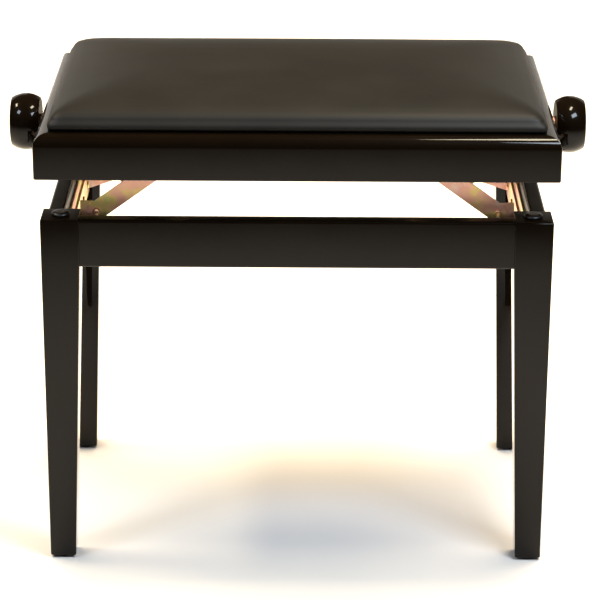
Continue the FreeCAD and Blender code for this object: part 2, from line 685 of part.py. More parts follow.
def corner_block():
    """Right rear corner block under the board."""
    z = BOARD_BOTTOM_Z - BLOCK_THICKNESS
    outline = [
        Vector(SEAT_INNER_X, SEAT_INNER_Y, z),
        Vector(SEAT_INNER_X - BLOCK_LEG, SEAT_INNER_Y, z),
        Vector(SEAT_INNER_X, SEAT_INNER_Y - BLOCK_LEG, z),
    ]
    hole = screw_hole(block_screw_seat(), Z_AXIS, BLOCK_SCREW_LENGTH)
    return prism(outline, Z_AXIS * BLOCK_THICKNESS).cut(hole)


def block_screw_seat():
    """Where the right rear corner block's screw bears."""
    inset = BLOCK_LEG * BLOCK_SCREW_SHARE
    return Vector(SEAT_INNER_X - inset, SEAT_INNER_Y - inset, BOARD_BOTTOM_Z - BLOCK_THICKNESS)


def cushion():
    """The cushion: steep at its edge and crowned in the middle, as rings drawn in from the base outline."""
    half_x = SEAT_WIDTH / 2 - REBATE_FROM_EDGE + CUSHION_LIP
    half_y = SEAT_DEPTH / 2 - REBATE_FROM_EDGE + CUSHION_LIP
    rings = []
    for share in CUSHION_RING_SHARES:
        rise = (1 - (1 - share) ** CUSHION_FULLNESS) ** (1 / CUSHION_FULLNESS)
        drawn_in = half_y * share
        rings.append(rounded_outline(half_x - drawn_in, half_y - drawn_in, SEAT_TOP_Z + CUSHION_CROWN * rise))
    return Part.makeLoft(rings, True, True)


def rounded_outline(half_x, half_y, z):
    """A closed rectangle with rounded corners, level at a height."""
    r = CUSHION_CORNER_RADIUS
    k = r * (1 - math.sqrt(0.5))
    pieces = []
    for sx, sy in ((1, 1), (-1, 1), (-1, -1), (1, -1)):
        a = Vector(sx * half_x, sy * (half_y - r), z)
        b = Vector(sx * (half_x - k), sy * (half_y - k), z)
        c = Vector(sx * (half_x - r), sy * half_y, z)
        pieces.append((a, b, c) if sx * sy > 0 else (c, b, a))
    edges = []
    for here, following in zip(pieces, pieces[1:] + pieces[:1]):
        edges.append(Part.Arc(*here).toShape())
        edges.append(Part.LineSegment(here[2], following[0]).toShape())
    return Part.Wire(edges)


def seat_screw_seats():
    """Where the heads of the right seat bracket's screws bear on it."""
    rows = screw_rows(SEAT_EAR_Y)
    return [Vector(SEAT_BRACKET_X, y * way, SPINDLE_Z) for y in rows for way in (-1, 1)]


def seat_bracket():
    """Right seat bracket: a plate on the side rail with an ear at each end for a short link's pin."""
    half = SEAT_EAR_Y + SHEET
    z = SPINDLE_Z - SEAT_BRACKET_HEIGHT / 2, SPINDLE_Z + SEAT_BRACKET_HEIGHT / 2
    plate = block((SEAT_BRACKET_X, SEAT_INNER_X), (-half, half), z)
    plate = plate.cut(bush_hole())
    for seat in seat_screw_seats():
        plate = plate.cut(screw_hole(seat - X_AXIS * SHEET, X_AXIS, 3 * SHEET))
    ear = strap((SEAT_INNER_X, SPINDLE_Z), (LOWER_PIN_X, SPINDLE_Z), 2 * EAR_RADIUS, SEAT_EAR_Y, SHEET)
    ear = ear.cut(block((SEAT_INNER_X, SEAT_INNER_X + 2 * EAR_RADIUS), (SEAT_EAR_Y - 1, half + 1), z))
    ear = ear.cut(pin_hole(LOWER_PIN_X, SPINDLE_Z, RIVET_RADIUS + SEATED_CLEARANCE))
    return plate.multiFuse([ear, ear.mirror(Vector(), Y_AXIS)]).removeSplitter()


def link_rivet():
    """Right rear rivet that joins a short link to the seat bracket, its head under the arm's layer."""
    return rivet(LINK_Y + SHEET + SIDE_PLAY, SEAT_EAR_Y, LOWER_PIN_X, SPINDLE_Z)


def spindle_bush():
    """Right spindle bush: a flanged sleeve through the bracket and the rail."""
    bore = JOURNAL_RADIUS + RUNNING_CLEARANCE
    length = SEAT_WIDTH / 2 - BUSH_FACE_X
    profile = [
        (bore, 0),
        (BUSH_FLANGE_RADIUS, 0),
        (BUSH_FLANGE_RADIUS, BUSH_FLANGE_THICKNESS),
        (BUSH_RADIUS, BUSH_FLANGE_THICKNESS),
        (BUSH_RADIUS, length),
        (bore, length),
    ]
    return turned(profile, Vector(BUSH_FACE_X, 0, SPINDLE_Z), X_AXIS)


def rose():
    """Right rose: a domed washer on the outside of the seat frame, round the spindle."""
    bore = JOURNAL_RADIUS + SIDE_PLAY
    profile = [
        (bore, 0),
        (ROSE_RADIUS, 0),
        (ROSE_RADIUS, ROSE_THICKNESS * 0.4),
        (ROSE_RADIUS - ROSE_BEVEL, ROSE_THICKNESS),
        (bore, ROSE_THICKNESS),
    ]
    return turned(profile, Vector(SEAT_WIDTH / 2, 0, SPINDLE_Z), X_AXIS)


# ---- spindle and knobs ----
def spindle():
    """The whole spindle: two threaded lengths, a plain waist, and a journal with a knob at each end."""
    waist = NUT_NEAREST_X - NUT_BLOCK_SIZE / 2 - THREAD_MARGIN
    half = [
        (0, 0),
        (SPINDLE_WAIST_RADIUS, 0),
        (SPINDLE_WAIST_RADIUS, waist),
        (SPINDLE_RADIUS, waist + SPINDLE_RADIUS - SPINDLE_WAIST_RADIUS),
        (SPINDLE_RADIUS, COLLAR_INNER_X - THREAD_RUNOUT),
        (JOURNAL_RADIUS, COLLAR_INNER_X - 1),
        (JOURNAL_RADIUS, SPINDLE_END_X - SPINDLE_END_CHAMFER),
        (JOURNAL_RADIUS - SPINDLE_END_CHAMFER, SPINDLE_END_X),
        (0, SPINDLE_END_X),
    ]
    middle = Vector(0, 0, SPINDLE_Z)
    return turned(half, middle, X_AXIS).fuse(turned(half, middle, -X_AXIS)).removeSplitter()


def collar():
    """Right set collar, which takes the spindle's end thrust against the bush, with its grub screw's hole."""
    bore = JOURNAL_RADIUS + SEATED_CLEARANCE
    profile = [
        (bore, 0),
        (COLLAR_RADIUS - 1, 0),
        (COLLAR_RADIUS, 1),
        (COLLAR_RADIUS, COLLAR_LENGTH - 1),
        (COLLAR_RADIUS - 1, COLLAR_LENGTH),
        (bore, COLLAR_LENGTH),
    ]
    ring = turned(profile, Vector(COLLAR_INNER_X, 0, SPINDLE_Z), X_AXIS)
    start = Vector(COLLAR_INNER_X + COLLAR_LENGTH / 2, 0, SPINDLE_Z)
    return ring.cut(rod(start, -Z_AXIS, GRUB_RADIUS + SEATED_CLEARANCE, 2 * COLLAR_RADIUS))


def grub_screw():
    """Grub screw of the right collar, from the journal to just inside the collar's rim."""
    x = COLLAR_INNER_X + COLLAR_LENGTH / 2
    start = Vector(x, 0, SPINDLE_Z - JOURNAL_RADIUS - SEATED_CLEARANCE)
    return rod(start, -Z_AXIS, GRUB_RADIUS, COLLAR_RADIUS - JOURNAL_RADIUS - GRUB_RECESS)


def ferrule():
    """Right ferrule: a plain ring on the spindle against the knob."""
    start = Vector(KNOB_INNER_X - FERRULE_LENGTH, 0, SPINDLE_Z)
    ring = rod(start, X_AXIS, FERRULE_RADIUS, FERRULE_LENGTH)
    ring = ring.makeChamfer(0.8, round_edges(ring))
    return ring.cut(rod(start, X_AXIS, JOURNAL_RADIUS + SEATED_CLEARANCE, FERRULE_LENGTH))


def knob():
    """Right knob: a barrel with a slightly domed outer face, bored blind for the spindle."""
    bore = JOURNAL_RADIUS + SEATED_CLEARANCE
    dome_radius = (KNOB_RIM_RADIUS**2 + KNOB_DOME**2) / (2 * KNOB_DOME)
    dome_centre = KNOB_LENGTH + KNOB_DOME - dome_radius

    def at(radius, along):
        return Vector(radius, 0, along)

    half_rim = KNOB_RIM_RADIUS / 2
    outer_rim = at(KNOB_RIM_RADIUS, KNOB_LENGTH)
    crown = Part.Arc(at(KNOB_RIM_RADIUS, 0), at(KNOB_RADIUS, KNOB_LENGTH / 2), outer_rim)
    dome = Part.Arc(
        outer_rim,
        at(half_rim, dome_centre + math.sqrt(dome_radius**2 - half_rim**2)),
        at(0, KNOB_LENGTH + KNOB_DOME),
    )
    corners = [
        at(0, KNOB_LENGTH + KNOB_DOME),
        at(0, KNOB_BORE_DEPTH),
        at(bore, KNOB_BORE_DEPTH),
        at(bore, 0),
        at(KNOB_RIM_RADIUS, 0),
    ]
    edges = [crown.toShape(), dome.toShape()]
    edges += [Part.LineSegment(a, b).toShape() for a, b in zip(corners, corners[1:])]
    solid = Part.Face(Part.Wire(edges)).revolve(Vector(), Z_AXIS, 360)
    rims = [e for e in round_edges(solid) if abs(e.Curve.Radius - KNOB_RIM_RADIUS) < TINY]
    return placed(solid.makeFillet(KNOB_EDGE_RADIUS, rims), Vector(KNOB_INNER_X, 0, SPINDLE_Z), X_AXIS)


def write_base():
    """Everything that stands still."""
    for side_name, side in SIDES.items():
        for end_name, end in ENDS.items():
            save(f"leg_{end_name}_{side_name}", flipped(mirrored(leg(), side), end))
        save(f"base_rail_{side_name}", mirrored(side_rail(), side))
        save(f"base_bracket_{side_name}", mirrored(base_bracket(), side))
    for end_name, end in ENDS.items():
        save(f"base_rail_{end_name}", flipped(long_rail(), end))
    save("rail_dowels", *dowels())
    save("leg_bumpers", *all_corners(bumper()))
    save("leg_glides", *all_corners(glide()))
    screws = [wood_screw(BRACKET_SCREW_LENGTH, seat, X_AXIS) for seat in base_screw_seats()]
    save("base_bracket_screws", *[mirrored(screw, side) for screw in screws for side in SIDES.values()])
    rivets = [mirrored(lower_rivet(side), side) for side in SIDES.values()]
    save("lower_rivets", *[flipped(rivet_pair, end) for rivet_pair in rivets for end in ENDS.values()])


def write_lift():
    """The arms, links and cross bars between the base and the seat."""
    for side_name, side in SIDES.items():
        for end_name, end in ENDS.items():
            save(f"long_arm_{end_name}_{side_name}", flipped(mirrored(long_arm(), side), end))
            save(f"short_link_{end_name}_{side_name}", flipped(mirrored(short_link(), side), end))
        middle = mirrored(mid_rivet(), side)
        save(f"middle_rivets_{side_name}", middle, flipped(middle, -1))
        save(f"nut_bar_{side_name}", mirrored(nut_bar(), side))
        clip = mirrored(bar_clip(), side)
        save(f"bar_clips_{side_name}", clip, flipped(clip, -1))


def write_seat():
    """The seat frame, its cushion, its brackets and the spindle's bearings."""
    for side_name, side in SIDES.items():
        save(f"seat_rail_{side_name}", mirrored(seat_side_rail(), side))
        save(f"seat_bracket_{side_name}", mirrored(seat_bracket(), side))
        save(f"spindle_bush_{side_name}", mirrored(spindle_bush(), side))
    for end_name, end in ENDS.items():
        save(f"seat_rail_{end_name}", flipped(seat_long_rail(), end))
    save("seat_board", seat_board())
    save("corner_blocks", *all_corners(corner_block()))
    save("block_screws", *all_corners(wood_screw(BLOCK_SCREW_LENGTH, block_screw_seat(), Z_AXIS)))
    save("cushion", cushion())
    screws = [wood_screw(BRACKET_SCREW_LENGTH, seat, X_AXIS) for seat in seat_screw_seats()]
    save("seat_bracket_screws", *[mirrored(screw, side) for screw in screws for side in SIDES.values()])
    save("link_rivets", *all_corners(link_rivet()))
    save("spindle_roses", *[mirrored(rose(), side) for side in SIDES.values()])


def write_spindle():
    """The spindle and what turns with it."""
    save("spindle", spindle())
    for name, shape in (
        ("spindle_collars", collar()),
        ("collar_screws", grub_screw()),
        ("knob_ferrules", ferrule()),
    ):
        save(name, *[mirrored(shape, side) for side in SIDES.values()])
    for side_name, side in SIDES.items():
        save(f"knob_{side_name}", mirrored(knob(), side))


def main():
    os.makedirs(OUT, exist_ok=True)
    write_base()
    write_lift()
    write_seat()
    write_spindle()


main()
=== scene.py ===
"""Looks of a height-adjustable piano bench: lacquered frame, crowned seat and passivated steel lift."""

import json
import logging
import math
from dataclasses import dataclass, field
from enum import Enum
from typing import Iterable, Sequence

import bmesh
import bpy
import numpy as np
from mathutils import Euler, Matrix, Vector

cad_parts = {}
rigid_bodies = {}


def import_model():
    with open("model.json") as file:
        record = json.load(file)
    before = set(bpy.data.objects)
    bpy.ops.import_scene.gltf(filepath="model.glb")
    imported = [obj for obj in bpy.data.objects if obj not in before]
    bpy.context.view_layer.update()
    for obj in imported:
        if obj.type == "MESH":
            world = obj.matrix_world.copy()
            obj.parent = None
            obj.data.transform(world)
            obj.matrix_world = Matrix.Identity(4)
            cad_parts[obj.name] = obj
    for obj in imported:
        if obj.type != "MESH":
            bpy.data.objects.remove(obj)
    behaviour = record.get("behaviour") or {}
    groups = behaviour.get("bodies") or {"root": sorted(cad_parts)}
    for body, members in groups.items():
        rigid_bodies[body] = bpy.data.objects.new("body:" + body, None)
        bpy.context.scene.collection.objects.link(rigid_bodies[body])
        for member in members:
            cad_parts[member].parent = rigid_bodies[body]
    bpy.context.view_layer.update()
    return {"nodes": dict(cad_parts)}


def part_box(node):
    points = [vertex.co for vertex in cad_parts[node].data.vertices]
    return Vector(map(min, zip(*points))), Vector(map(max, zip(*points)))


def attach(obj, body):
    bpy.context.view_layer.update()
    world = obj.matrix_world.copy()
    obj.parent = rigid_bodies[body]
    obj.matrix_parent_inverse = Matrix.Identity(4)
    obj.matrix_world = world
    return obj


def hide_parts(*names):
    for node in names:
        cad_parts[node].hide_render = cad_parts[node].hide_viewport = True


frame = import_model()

MM = 0.001
WELD = 0.001 * MM
UP = Vector((0, 0, 1))
LOG = logging.getLogger("piano_bench")

Point = tuple[float, float, float]
Pair = tuple[float, float]
Ring = list[Vector]
Piece = bpy.types.Object
Tree = bpy.types.NodeTree
Node = bpy.types.Node
Socket = bpy.types.NodeSocket


class Place(Enum):
    """A place on the bench, as the sign of an axis."""

    @property
    def word(self) -> str:
        """The place's word in the names of nodes and bodies."""
        return self.name.lower()


class Side(Place):
    """The two sides of the bench, as the sign of X."""

    LEFT = -1
    RIGHT = 1


class End(Place):
    """The front and the back of the bench, as the sign of Y."""

    FRONT = -1
    REAR = 1


# ---- shader and node helpers ----
def linear(code: str) -> tuple[float, float, float, float]:
    """Turns an sRGB hex colour into linear RGBA.

    Args:
        code: Colour such as "#1a1512".

    Returns:
        The linear colour with an alpha of one.
    """
    parts = [int(code[i:i + 2], 16) / 255 for i in (1, 3, 5)]
    red, green, blue = [c / 12.92 if c <= 0.04045 else ((c + 0.055) / 1.055) ** 2.4 for c in parts]
    return red, green, blue, 1.0


def add_node(tree: Tree, kind: str, inputs: dict | None = None, **settings: object) -> Node:
    """Adds a node with its settings, and fills its inputs with values or links.

    Args:
        tree: Tree that gets the node.
        kind: Blender's name for the node's type.
        inputs: Value or linked socket of each input, by the input's name or number.
        settings: Properties of the node itself.

    Returns:
        The new node.
    """
    node = tree.nodes.new(kind)
    for name, value in settings.items():
        setattr(node, name, value)
    for key, value in (inputs or {}).items():
        if isinstance(value, Socket):
            tree.links.new(value, node.inputs[key])
        else:
            node.inputs[key].default_value = value
    return node


# ---- finishes ----
@dataclass(frozen=True)
class Finish:
    """A finish: its material's name, the record's slot that it belongs to, and the ends of its colour and roughness."""

    name: str = "finish"
    slot: str = ""
    colours: tuple[str, str] = ("#000000", "#ffffff")
    rough: Pair = (0.0, 1.0)

    def material(self) -> bpy.types.Material:
        """Makes the finish's material the first time that it is asked for.

        Returns:
            The material.
        """
        found = bpy.data.materials.get(self.name)
        if found:
            return found
        made = bpy.data.materials.new(self.name)
        made.use_nodes = True
        tree = made.node_tree
        tree.nodes.clear()
        shader = add_node(tree, "ShaderNodeBsdfPrincipled")
        add_node(tree, "ShaderNodeOutputMaterial", {"Surface": shader.outputs["BSDF"]})
        coords = add_node(tree, "ShaderNodeTexCoord").outputs["Object"]
        self.dress(tree, shader, coords)
        return made

    def dress(self, tree: Tree, shader: Node, coords: Socket) -> None:
        """Adds the finish's patterns to the shader.

        Args:
            tree: The material's tree.
            shader: Its principled shader.
            coords: Object coordinates, in metres.
        """
        raise NotImplementedError

    def surface(self, tree: Tree, shader: Node, tone: Socket, haze: Socket) -> Socket:
        """Blends the two colours by one pattern, and the two roughnesses by another.

        Args:
            tree: The material's tree.
            shader: Its principled shader.
            tone: Pattern of the colours.
            haze: Pattern of the roughness.

        Returns:
            The blended colour.
        """
        low, high = (linear(code) for code in self.colours)
        colour = add_node(tree, "ShaderNodeMix", {0: tone, 6: low, 7: high}, data_type="RGBA")
        tree.links.new(colour.outputs[2], shader.inputs["Base Color"])
        spread = add_node(tree, "ShaderNodeMapRange", {"Value": haze, "To Min": self.rough[0], "To Max": self.rough[1]})
        tree.links.new(spread.outputs["Result"], shader.inputs["Roughness"])
        return colour.outputs[2]

    def emboss(self, tree: Tree, shader: Node, *layers: tuple[Socket, float]) -> Socket:
        """Stacks patterns as relief on the surface.

        Args:
            tree: The material's tree.
            shader: Its principled shader.
            layers: Each pattern with its depth, in metres.

        Returns:
            The normal that follows the relief.
        """
        normal = None
        for height, depth in layers:
            inputs = {"Height": height, "Distance": depth} | ({"Normal": normal} if normal else {})
            normal = add_node(tree, "ShaderNodeBump", inputs).outputs["Normal"]
        tree.links.new(normal, shader.inputs["Normal"])
        return normal


@dataclass(frozen=True)
class PolyesterLacquer(Finish):
    """Black polyester lacquer, sprayed on wood and polished: a brown-black body under a deep clear gloss."""

    name: str = "polished_polyester_lacquer"
    slot: str = "black_lacquer"
    colours: tuple[str, str] = ("#080402", "#120b04")
    rough: Pair = (0.25, 0.40)
    cloud_size: float = 90 * MM
    sag_size: float = 120 * MM
    sag_depth: float = 1.1 * MM
    ripple_size: float = 30 * MM
    ripple_depth: float = 0.16 * MM
    peel_size: float = 2.6 * MM
    peel_depth: float = 0.0015 * MM
    gloss: float = 0.02
    coat_index: float = 1.28
    coat_rough: float = 0.02
    coat_weight: float = 1.0

    def dress(self, tree: Tree, shader: Node, coords: Socket) -> None:
        """Adds the sag and ripples of a thick lacquer, which make reflections waver, its orange peel and its body."""
        cloud = add_node(tree, "ShaderNodeTexNoise", {"Vector": coords, "Scale": 1 / self.cloud_size, "Detail": 3.0})
        haze = add_node(tree, "ShaderNodeTexNoise", {"Vector": coords, "Scale": 1 / self.ripple_size, "Detail": 6.0})
        self.surface(tree, shader, cloud.outputs["Fac"], haze.outputs["Fac"])
        layers = []
        for size, depth in ((self.sag_size, self.sag_depth), (self.ripple_size, self.ripple_depth),
                            (self.peel_size, self.peel_depth)):
            wave = add_node(tree, "ShaderNodeTexNoise", {"Vector": coords, "Scale": 1 / size, "Detail": 0.0})
            layers.append((wave.outputs["Fac"], depth))
        tree.links.new(self.emboss(tree, shader, *layers), shader.inputs["Coat Normal"])
        shader.inputs["Specular IOR Level"].default_value = self.gloss
        shader.inputs["Coat Weight"].default_value = self.coat_weight
        shader.inputs["Coat IOR"].default_value = self.coat_index
        shader.inputs["Coat Roughness"].default_value = self.coat_rough


@dataclass(frozen=True)
class Leatherette(Finish):
    """Black vinyl leathercloth with a fine pressed grain, which gives it a soft satin sheen."""

    name: str = "vinyl_leathercloth"
    slot: str = "black_leatherette"
    colours: tuple[str, str] = ("#181613", "#211f1b")
    rough: Pair = (0.46, 0.54)
    index: float = 1.5
    gloss: float = 0.25
    tone_size: float = 70 * MM
    grain_size: float = 1.1 * MM
    grain_depth: float = 0.045 * MM
    pore_size: float = 0.5 * MM
    pore_depth: float = 0.012 * MM
    slack_size: float = 38 * MM
    slack_depth: float = 0.10 * MM

    def dress(self, tree: Tree, shader: Node, coords: Socket) -> None:
        """Adds the pressed grain, drawn a little coarser than real so that it shows, and slow colour changes."""
        tone = add_node(tree, "ShaderNodeTexNoise", {"Vector": coords, "Scale": 1 / self.tone_size, "Detail": 2.0})
        self.surface(tree, shader, tone.outputs["Fac"], tone.outputs["Fac"])
        slack = add_node(tree, "ShaderNodeTexNoise", {"Vector": coords, "Scale": 1 / self.slack_size, "Detail": 1.0})
        grain = add_node(tree, "ShaderNodeTexVoronoi", {"Vector": coords, "Scale": 1 / self.grain_size},
                         feature="SMOOTH_F1")
        pores = add_node(tree, "ShaderNodeTexNoise", {"Vector": coords, "Scale": 1 / self.pore_size, "Detail": 1.0})
        self.emboss(tree, shader, (slack.outputs["Fac"], self.slack_depth),
                    (grain.outputs["Distance"], self.grain_depth), (pores.outputs["Fac"], self.pore_depth))
        shader.inputs["IOR"].default_value = self.index
        shader.inputs["Specular IOR Level"].default_value = self.gloss


@dataclass(frozen=True)
class PassivatedSteel(Finish):
    """Pressed steel, zinc plated and yellow passivated: a metal gold that drifts to rose and green."""

    name: str = "yellow_passivated_steel"
    slot: str = "zinc_steel"
    stops: tuple[tuple[float, str], ...] = (
        (0.30, "#c3d48f"), (0.39, "#d8d68c"), (0.46, "#f3d791"),
        (0.53, "#f2c3a4"), (0.60, "#efb7a6"), (0.70, "#eed3c2"),
    )
    rough: Pair = (0.36, 0.54)
    cloud_size: float = 30 * MM
    streak_size: float = 2.4 * MM
    streak_depth: float = 0.006 * MM
    rolling: Point = (1.0, 0.2, 6.0)

    def dress(self, tree: Tree, shader: Node, coords: Socket) -> None:
        """Adds the drifting interference colours and the fine streaks of rolled sheet."""
        clouds = add_node(tree, "ShaderNodeTexNoise", {"Vector": coords, "Scale": 1 / self.cloud_size, "Detail": 4.0})
        tint = add_node(tree, "ShaderNodeValToRGB", {"Fac": clouds.outputs["Fac"]})
        for position, _ in self.stops[2:]:
            tint.color_ramp.elements.new(position)
        for element, (position, code) in zip(tint.color_ramp.elements, self.stops):
            element.position = position
            element.color = linear(code)
        tree.links.new(tint.outputs["Color"], shader.inputs["Base Color"])
        drawn = add_node(tree, "ShaderNodeMapping", {"Vector": coords, "Scale": self.rolling})
        streaks = add_node(tree, "ShaderNodeTexNoise",
                           {"Vector": drawn.outputs["Vector"], "Scale": 1 / self.streak_size, "Detail": 3.0})
        rough = add_node(tree, "ShaderNodeMapRange",
                         {"Value": streaks.outputs["Fac"], "To Min": self.rough[0], "To Max": self.rough[1]})
        tree.links.new(rough.outputs["Result"], shader.inputs["Roughness"])
        self.emboss(tree, shader, (streaks.outputs["Fac"], self.streak_depth))
        shader.inputs["Metallic"].default_value = 1.0


@dataclass(frozen=True)
class BlackenedSteel(Finish):
    """Oil-blackened spring steel, nearly black with a dull metal shine."""

    name: str = "blackened_steel"
    slot: str = "black_steel"
    colours: tuple[str, str] = ("#151516", "#2b2b2d")
    rough: Pair = (0.3, 0.6)
    tooth_size: float = 1.5 * MM
    tooth_depth: float = 0.006 * MM

    def dress(self, tree: Tree, shader: Node, coords: Socket) -> None:
        """Adds the uneven oxide and its fine tooth."""
        noise = add_node(tree, "ShaderNodeTexNoise", {"Vector": coords, "Scale": 1 / self.tooth_size, "Detail": 4.0})
        tooth = noise.outputs["Fac"]
        self.surface(tree, shader, tooth, tooth)
        self.emboss(tree, shader, (tooth, self.tooth_depth))
        shader.inputs["Metallic"].default_value = 1.0


@dataclass(frozen=True)
class SandedWood(Finish):
    """Sanded beech or beech plywood, bare or darkened: long grain with short dark flecks."""

    name: str = "sanded_beech"
    slot: str = "bare_wood"
    colours: tuple[str, str] = ("#c9a57a", "#a67f55")
    rough: Pair = (0.5, 0.8)
    fleck: str = "#7d5a38"
    gloss: float = 0.4
    grain_width: float = 2.2 * MM
    grain_depth: float = 0.03 * MM
    fleck_width: float = 0.9 * MM
    fleck_share: Pair = (0.58, 0.75)
    along_grain: Point = (0.06, 1.0, 1.0)
    along_fleck: Point = (0.3, 1.0, 1.0)

    def dress(self, tree: Tree, shader: Node, coords: Socket) -> None:
        """Adds grain that runs along X, its flecks and the fibres that sanding leaves."""
        along = add_node(tree, "ShaderNodeMapping", {"Vector": coords, "Scale": self.along_grain})
        grain = add_node(tree, "ShaderNodeTexNoise",
                         {"Vector": along.outputs["Vector"], "Scale": 1 / self.grain_width, "Detail": 4.0})
        wood = self.surface(tree, shader, grain.outputs["Fac"], grain.outputs["Fac"])
        short = add_node(tree, "ShaderNodeMapping", {"Vector": coords, "Scale": self.along_fleck})
        rays = add_node(tree, "ShaderNodeTexNoise",
                        {"Vector": short.outputs["Vector"], "Scale": 1 / self.fleck_width, "Detail": 1.0})
        share = add_node(tree, "ShaderNodeMapRange", {"Value": rays.outputs["Fac"], "From Min": self.fleck_share[0],
                                                      "From Max": self.fleck_share[1]})
        flecked = add_node(tree, "ShaderNodeMix", {0: share.outputs["Result"], 6: wood, 7: linear(self.fleck)},
                           data_type="RGBA")
        tree.links.new(flecked.outputs[2], shader.inputs["Base Color"])
        self.emboss(tree, shader, (grain.outputs["Fac"], self.grain_depth))
        shader.inputs["Specular IOR Level"].default_value = self.gloss


@dataclass(frozen=True)
class Moulded(Finish):
    """A moulded black polymer, matte from its mould's texture."""

    colours: tuple[str, str] = ("#0c0c0c", "#1c1b1a")
    rough: Pair = (0.5, 0.9)
    tooth_size: float = 0.8 * MM
    tooth_depth: float = 0.012 * MM
    dust_size: float = 6 * MM

    def dress(self, tree: Tree, shader: Node, coords: Socket) -> None:
        """Adds the fine mould texture and the dust that it holds."""
        dust = add_node(tree, "ShaderNodeTexNoise", {"Vector": coords, "Scale": 1 / self.dust_size, "Detail": 4.0})
        self.surface(tree, shader, dust.outputs["Fac"], dust.outputs["Fac"])
        tooth = add_node(tree, "ShaderNodeTexNoise", {"Vector": coords, "Scale": 1 / self.tooth_size, "Detail": 3.0})
        self.emboss(tree, shader, (tooth.outputs["Fac"], self.tooth_depth))


LACQUER = PolyesterLacquer()
UNPOLISHED = PolyesterLacquer("unpolished_polyester_lacquer", coat_weight=0.0)
LEATHERETTE = Leatherette()
ZINC = PassivatedSteel()
BLACK_STEEL = BlackenedSteel()
# Passivated steel drawn near-black for the spindle, far darker than the lift's other steel.
DARK_ZINC = PassivatedSteel("greased_passivated_steel", stops=((0.35, "#1d1a14"), (0.5, "#2b2519"), (0.65, "#3d3523")))
BEECH = SandedWood()
# Plywood drawn near-black, with near-black flecks, for the seat board and corner blocks.
DARK_PLYWOOD = SandedWood("black_stained_plywood", "stained_wood", ("#15100d", "#0d0a08"), fleck="#070504", gloss=0.12)
RUBBER = Moulded("moulded_rubber", "black_rubber", ("#070605", "#110f0d"), (0.25, 0.5))
NYLON = Moulded("moulded_nylon", "black_nylon", ("#101010", "#1d1d1d"), (0.35, 0.6))


# ---- mesh helpers ----
def make_piece(name: str, verts: Iterable[Vector], faces: Iterable[Sequence[int]], sharp_deg: float = 32.0) -> Piece:
    """Makes a smooth-shaded mesh object whose place is in its mesh.

    Args:
        name: Name of the piece.
        verts: Corners, in metres.
        faces: Corner numbers of each face.
        sharp_deg: Edges that turn by more than this stay sharp.

    Returns:
        The new object.
    """
    shape = bmesh.new()
    corners = [shape.verts.new(v) for v in verts]
    for face in faces:
        shape.faces.new([corners[i] for i in face])
    return finish_mesh(name, shape, sharp_deg)


def finish_mesh(name: str, shape: bmesh.types.BMesh, sharp_deg: float = 32.0) -> Piece:
    """Closes, orients and smooths a bmesh, and makes it an object.

    Args:
        name: Name of the piece.
        shape: The bmesh, which is used up.
        sharp_deg: Edges that turn by more than this stay sharp.

    Returns:
        The new object.
    """
    bmesh.ops.remove_doubles(shape, verts=shape.verts, dist=WELD)
    bmesh.ops.dissolve_degenerate(shape, edges=shape.edges, dist=1e-7)
    bmesh.ops.recalc_face_normals(shape, faces=shape.faces)
    mesh = bpy.data.meshes.new(name)
    shape.to_mesh(mesh)
    shape.free()
    mesh.shade_smooth()
    mesh.set_sharp_from_angle(angle=math.radians(sharp_deg))
    return placed(name, mesh)


def placed(name: str, data: bpy.types.ID) -> Piece:
    """Adds an object that holds some data to the scene.

    Args:
        name: Name of the object.
        data: Its mesh, lamp or camera.

    Returns:
        The new object.
    """
    made = bpy.data.objects.new(name, data)
    bpy.context.scene.collection.objects.link(made)
    return made


def settle(piece: Piece, body: str, finish: Finish, *nodes: str) -> Piece:
    """Gives a piece its finish and body, and has it stand for CAD nodes.

    Args:
        piece: The finished piece.
        body: Body that it rides on.
        finish: Its finish.
        nodes: CAD nodes that it stands for.

    Returns:
        The piece.
    """
    if not piece.data.materials:
        piece.data.materials.append(finish.material())
    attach(piece, body)
    if nodes:
        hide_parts(*nodes)
    LOG.info("%s: %d faces, rides on %s", piece.name, len(piece.data.polygons), body)
    return piece


def dull_faces(piece: Piece, *ways: Vector, nearness: float = 0.98) -> None:
    """Leaves the faces that look some ways as they come from the spray gun, unpolished.

    Args:
        piece: A lacquered piece that is settled already.
        ways: Directions that those faces look.
        nearness: Cosine of how far a face may turn from such a direction.
    """
    piece.data.materials.append(UNPOLISHED.material())
    for face in piece.data.polygons:
        if any(face.normal.dot(way) > nearness for way in ways):
            face.material_index = 1


def dress_node(node: str, finish: Finish) -> None:
    """Gives a CAD node that stays as it is its finish.

    Args:
        node: Name of the node.
        finish: Its finish.
    """
    slots = frame["nodes"][node].data.materials
    slots.clear()
    slots.append(finish.material())


def strips(rings: int, count: int, looped: bool, closed: bool) -> list[list[int]]:
    """Returns the faces between neighbouring rings of points.

    Args:
        rings: Number of rings.
        count: Number of points in each.
        looped: Whether the last ring joins the first.
        closed: Whether each ring's last point joins its first.

    Returns:
        The corner numbers of each face.
    """
    faces = []
    for i in range(rings if looped else rings - 1):
        here, there = i * count, (i + 1) % rings * count
        for j in range(count if closed else count - 1):
            k = (j + 1) % count
            faces.append([here + j, here + k, there + k, there + j])
    return faces


def loft(name: str, rings: Sequence[Ring]) -> Piece:
    """Makes a piece from closed rings of equally many points, and fills the first and the last.

    Args:
        name: Name of the piece.
        rings: The rings, in order.

    Returns:
        The new object.
    """
    count = len(rings[0])
    faces = strips(len(rings), count, looped=False, closed=True)
    faces += [list(range(count)), [(len(rings) - 1) * count + j for j in range(count)]]
    return make_piece(name, [v for ring in rings for v in ring], faces)


def arc(centre: Pair, radius: float, start_deg: float, end_deg: float, steps: int) -> list[Pair]:
    """Returns points on an arc in a plane, both ends included."""
    turns = [math.radians(start_deg + (end_deg - start_deg) * i / steps) for i in range(steps + 1)]
    return [(centre[0] + radius * math.cos(t), centre[1] + radius * math.sin(t)) for t in turns]


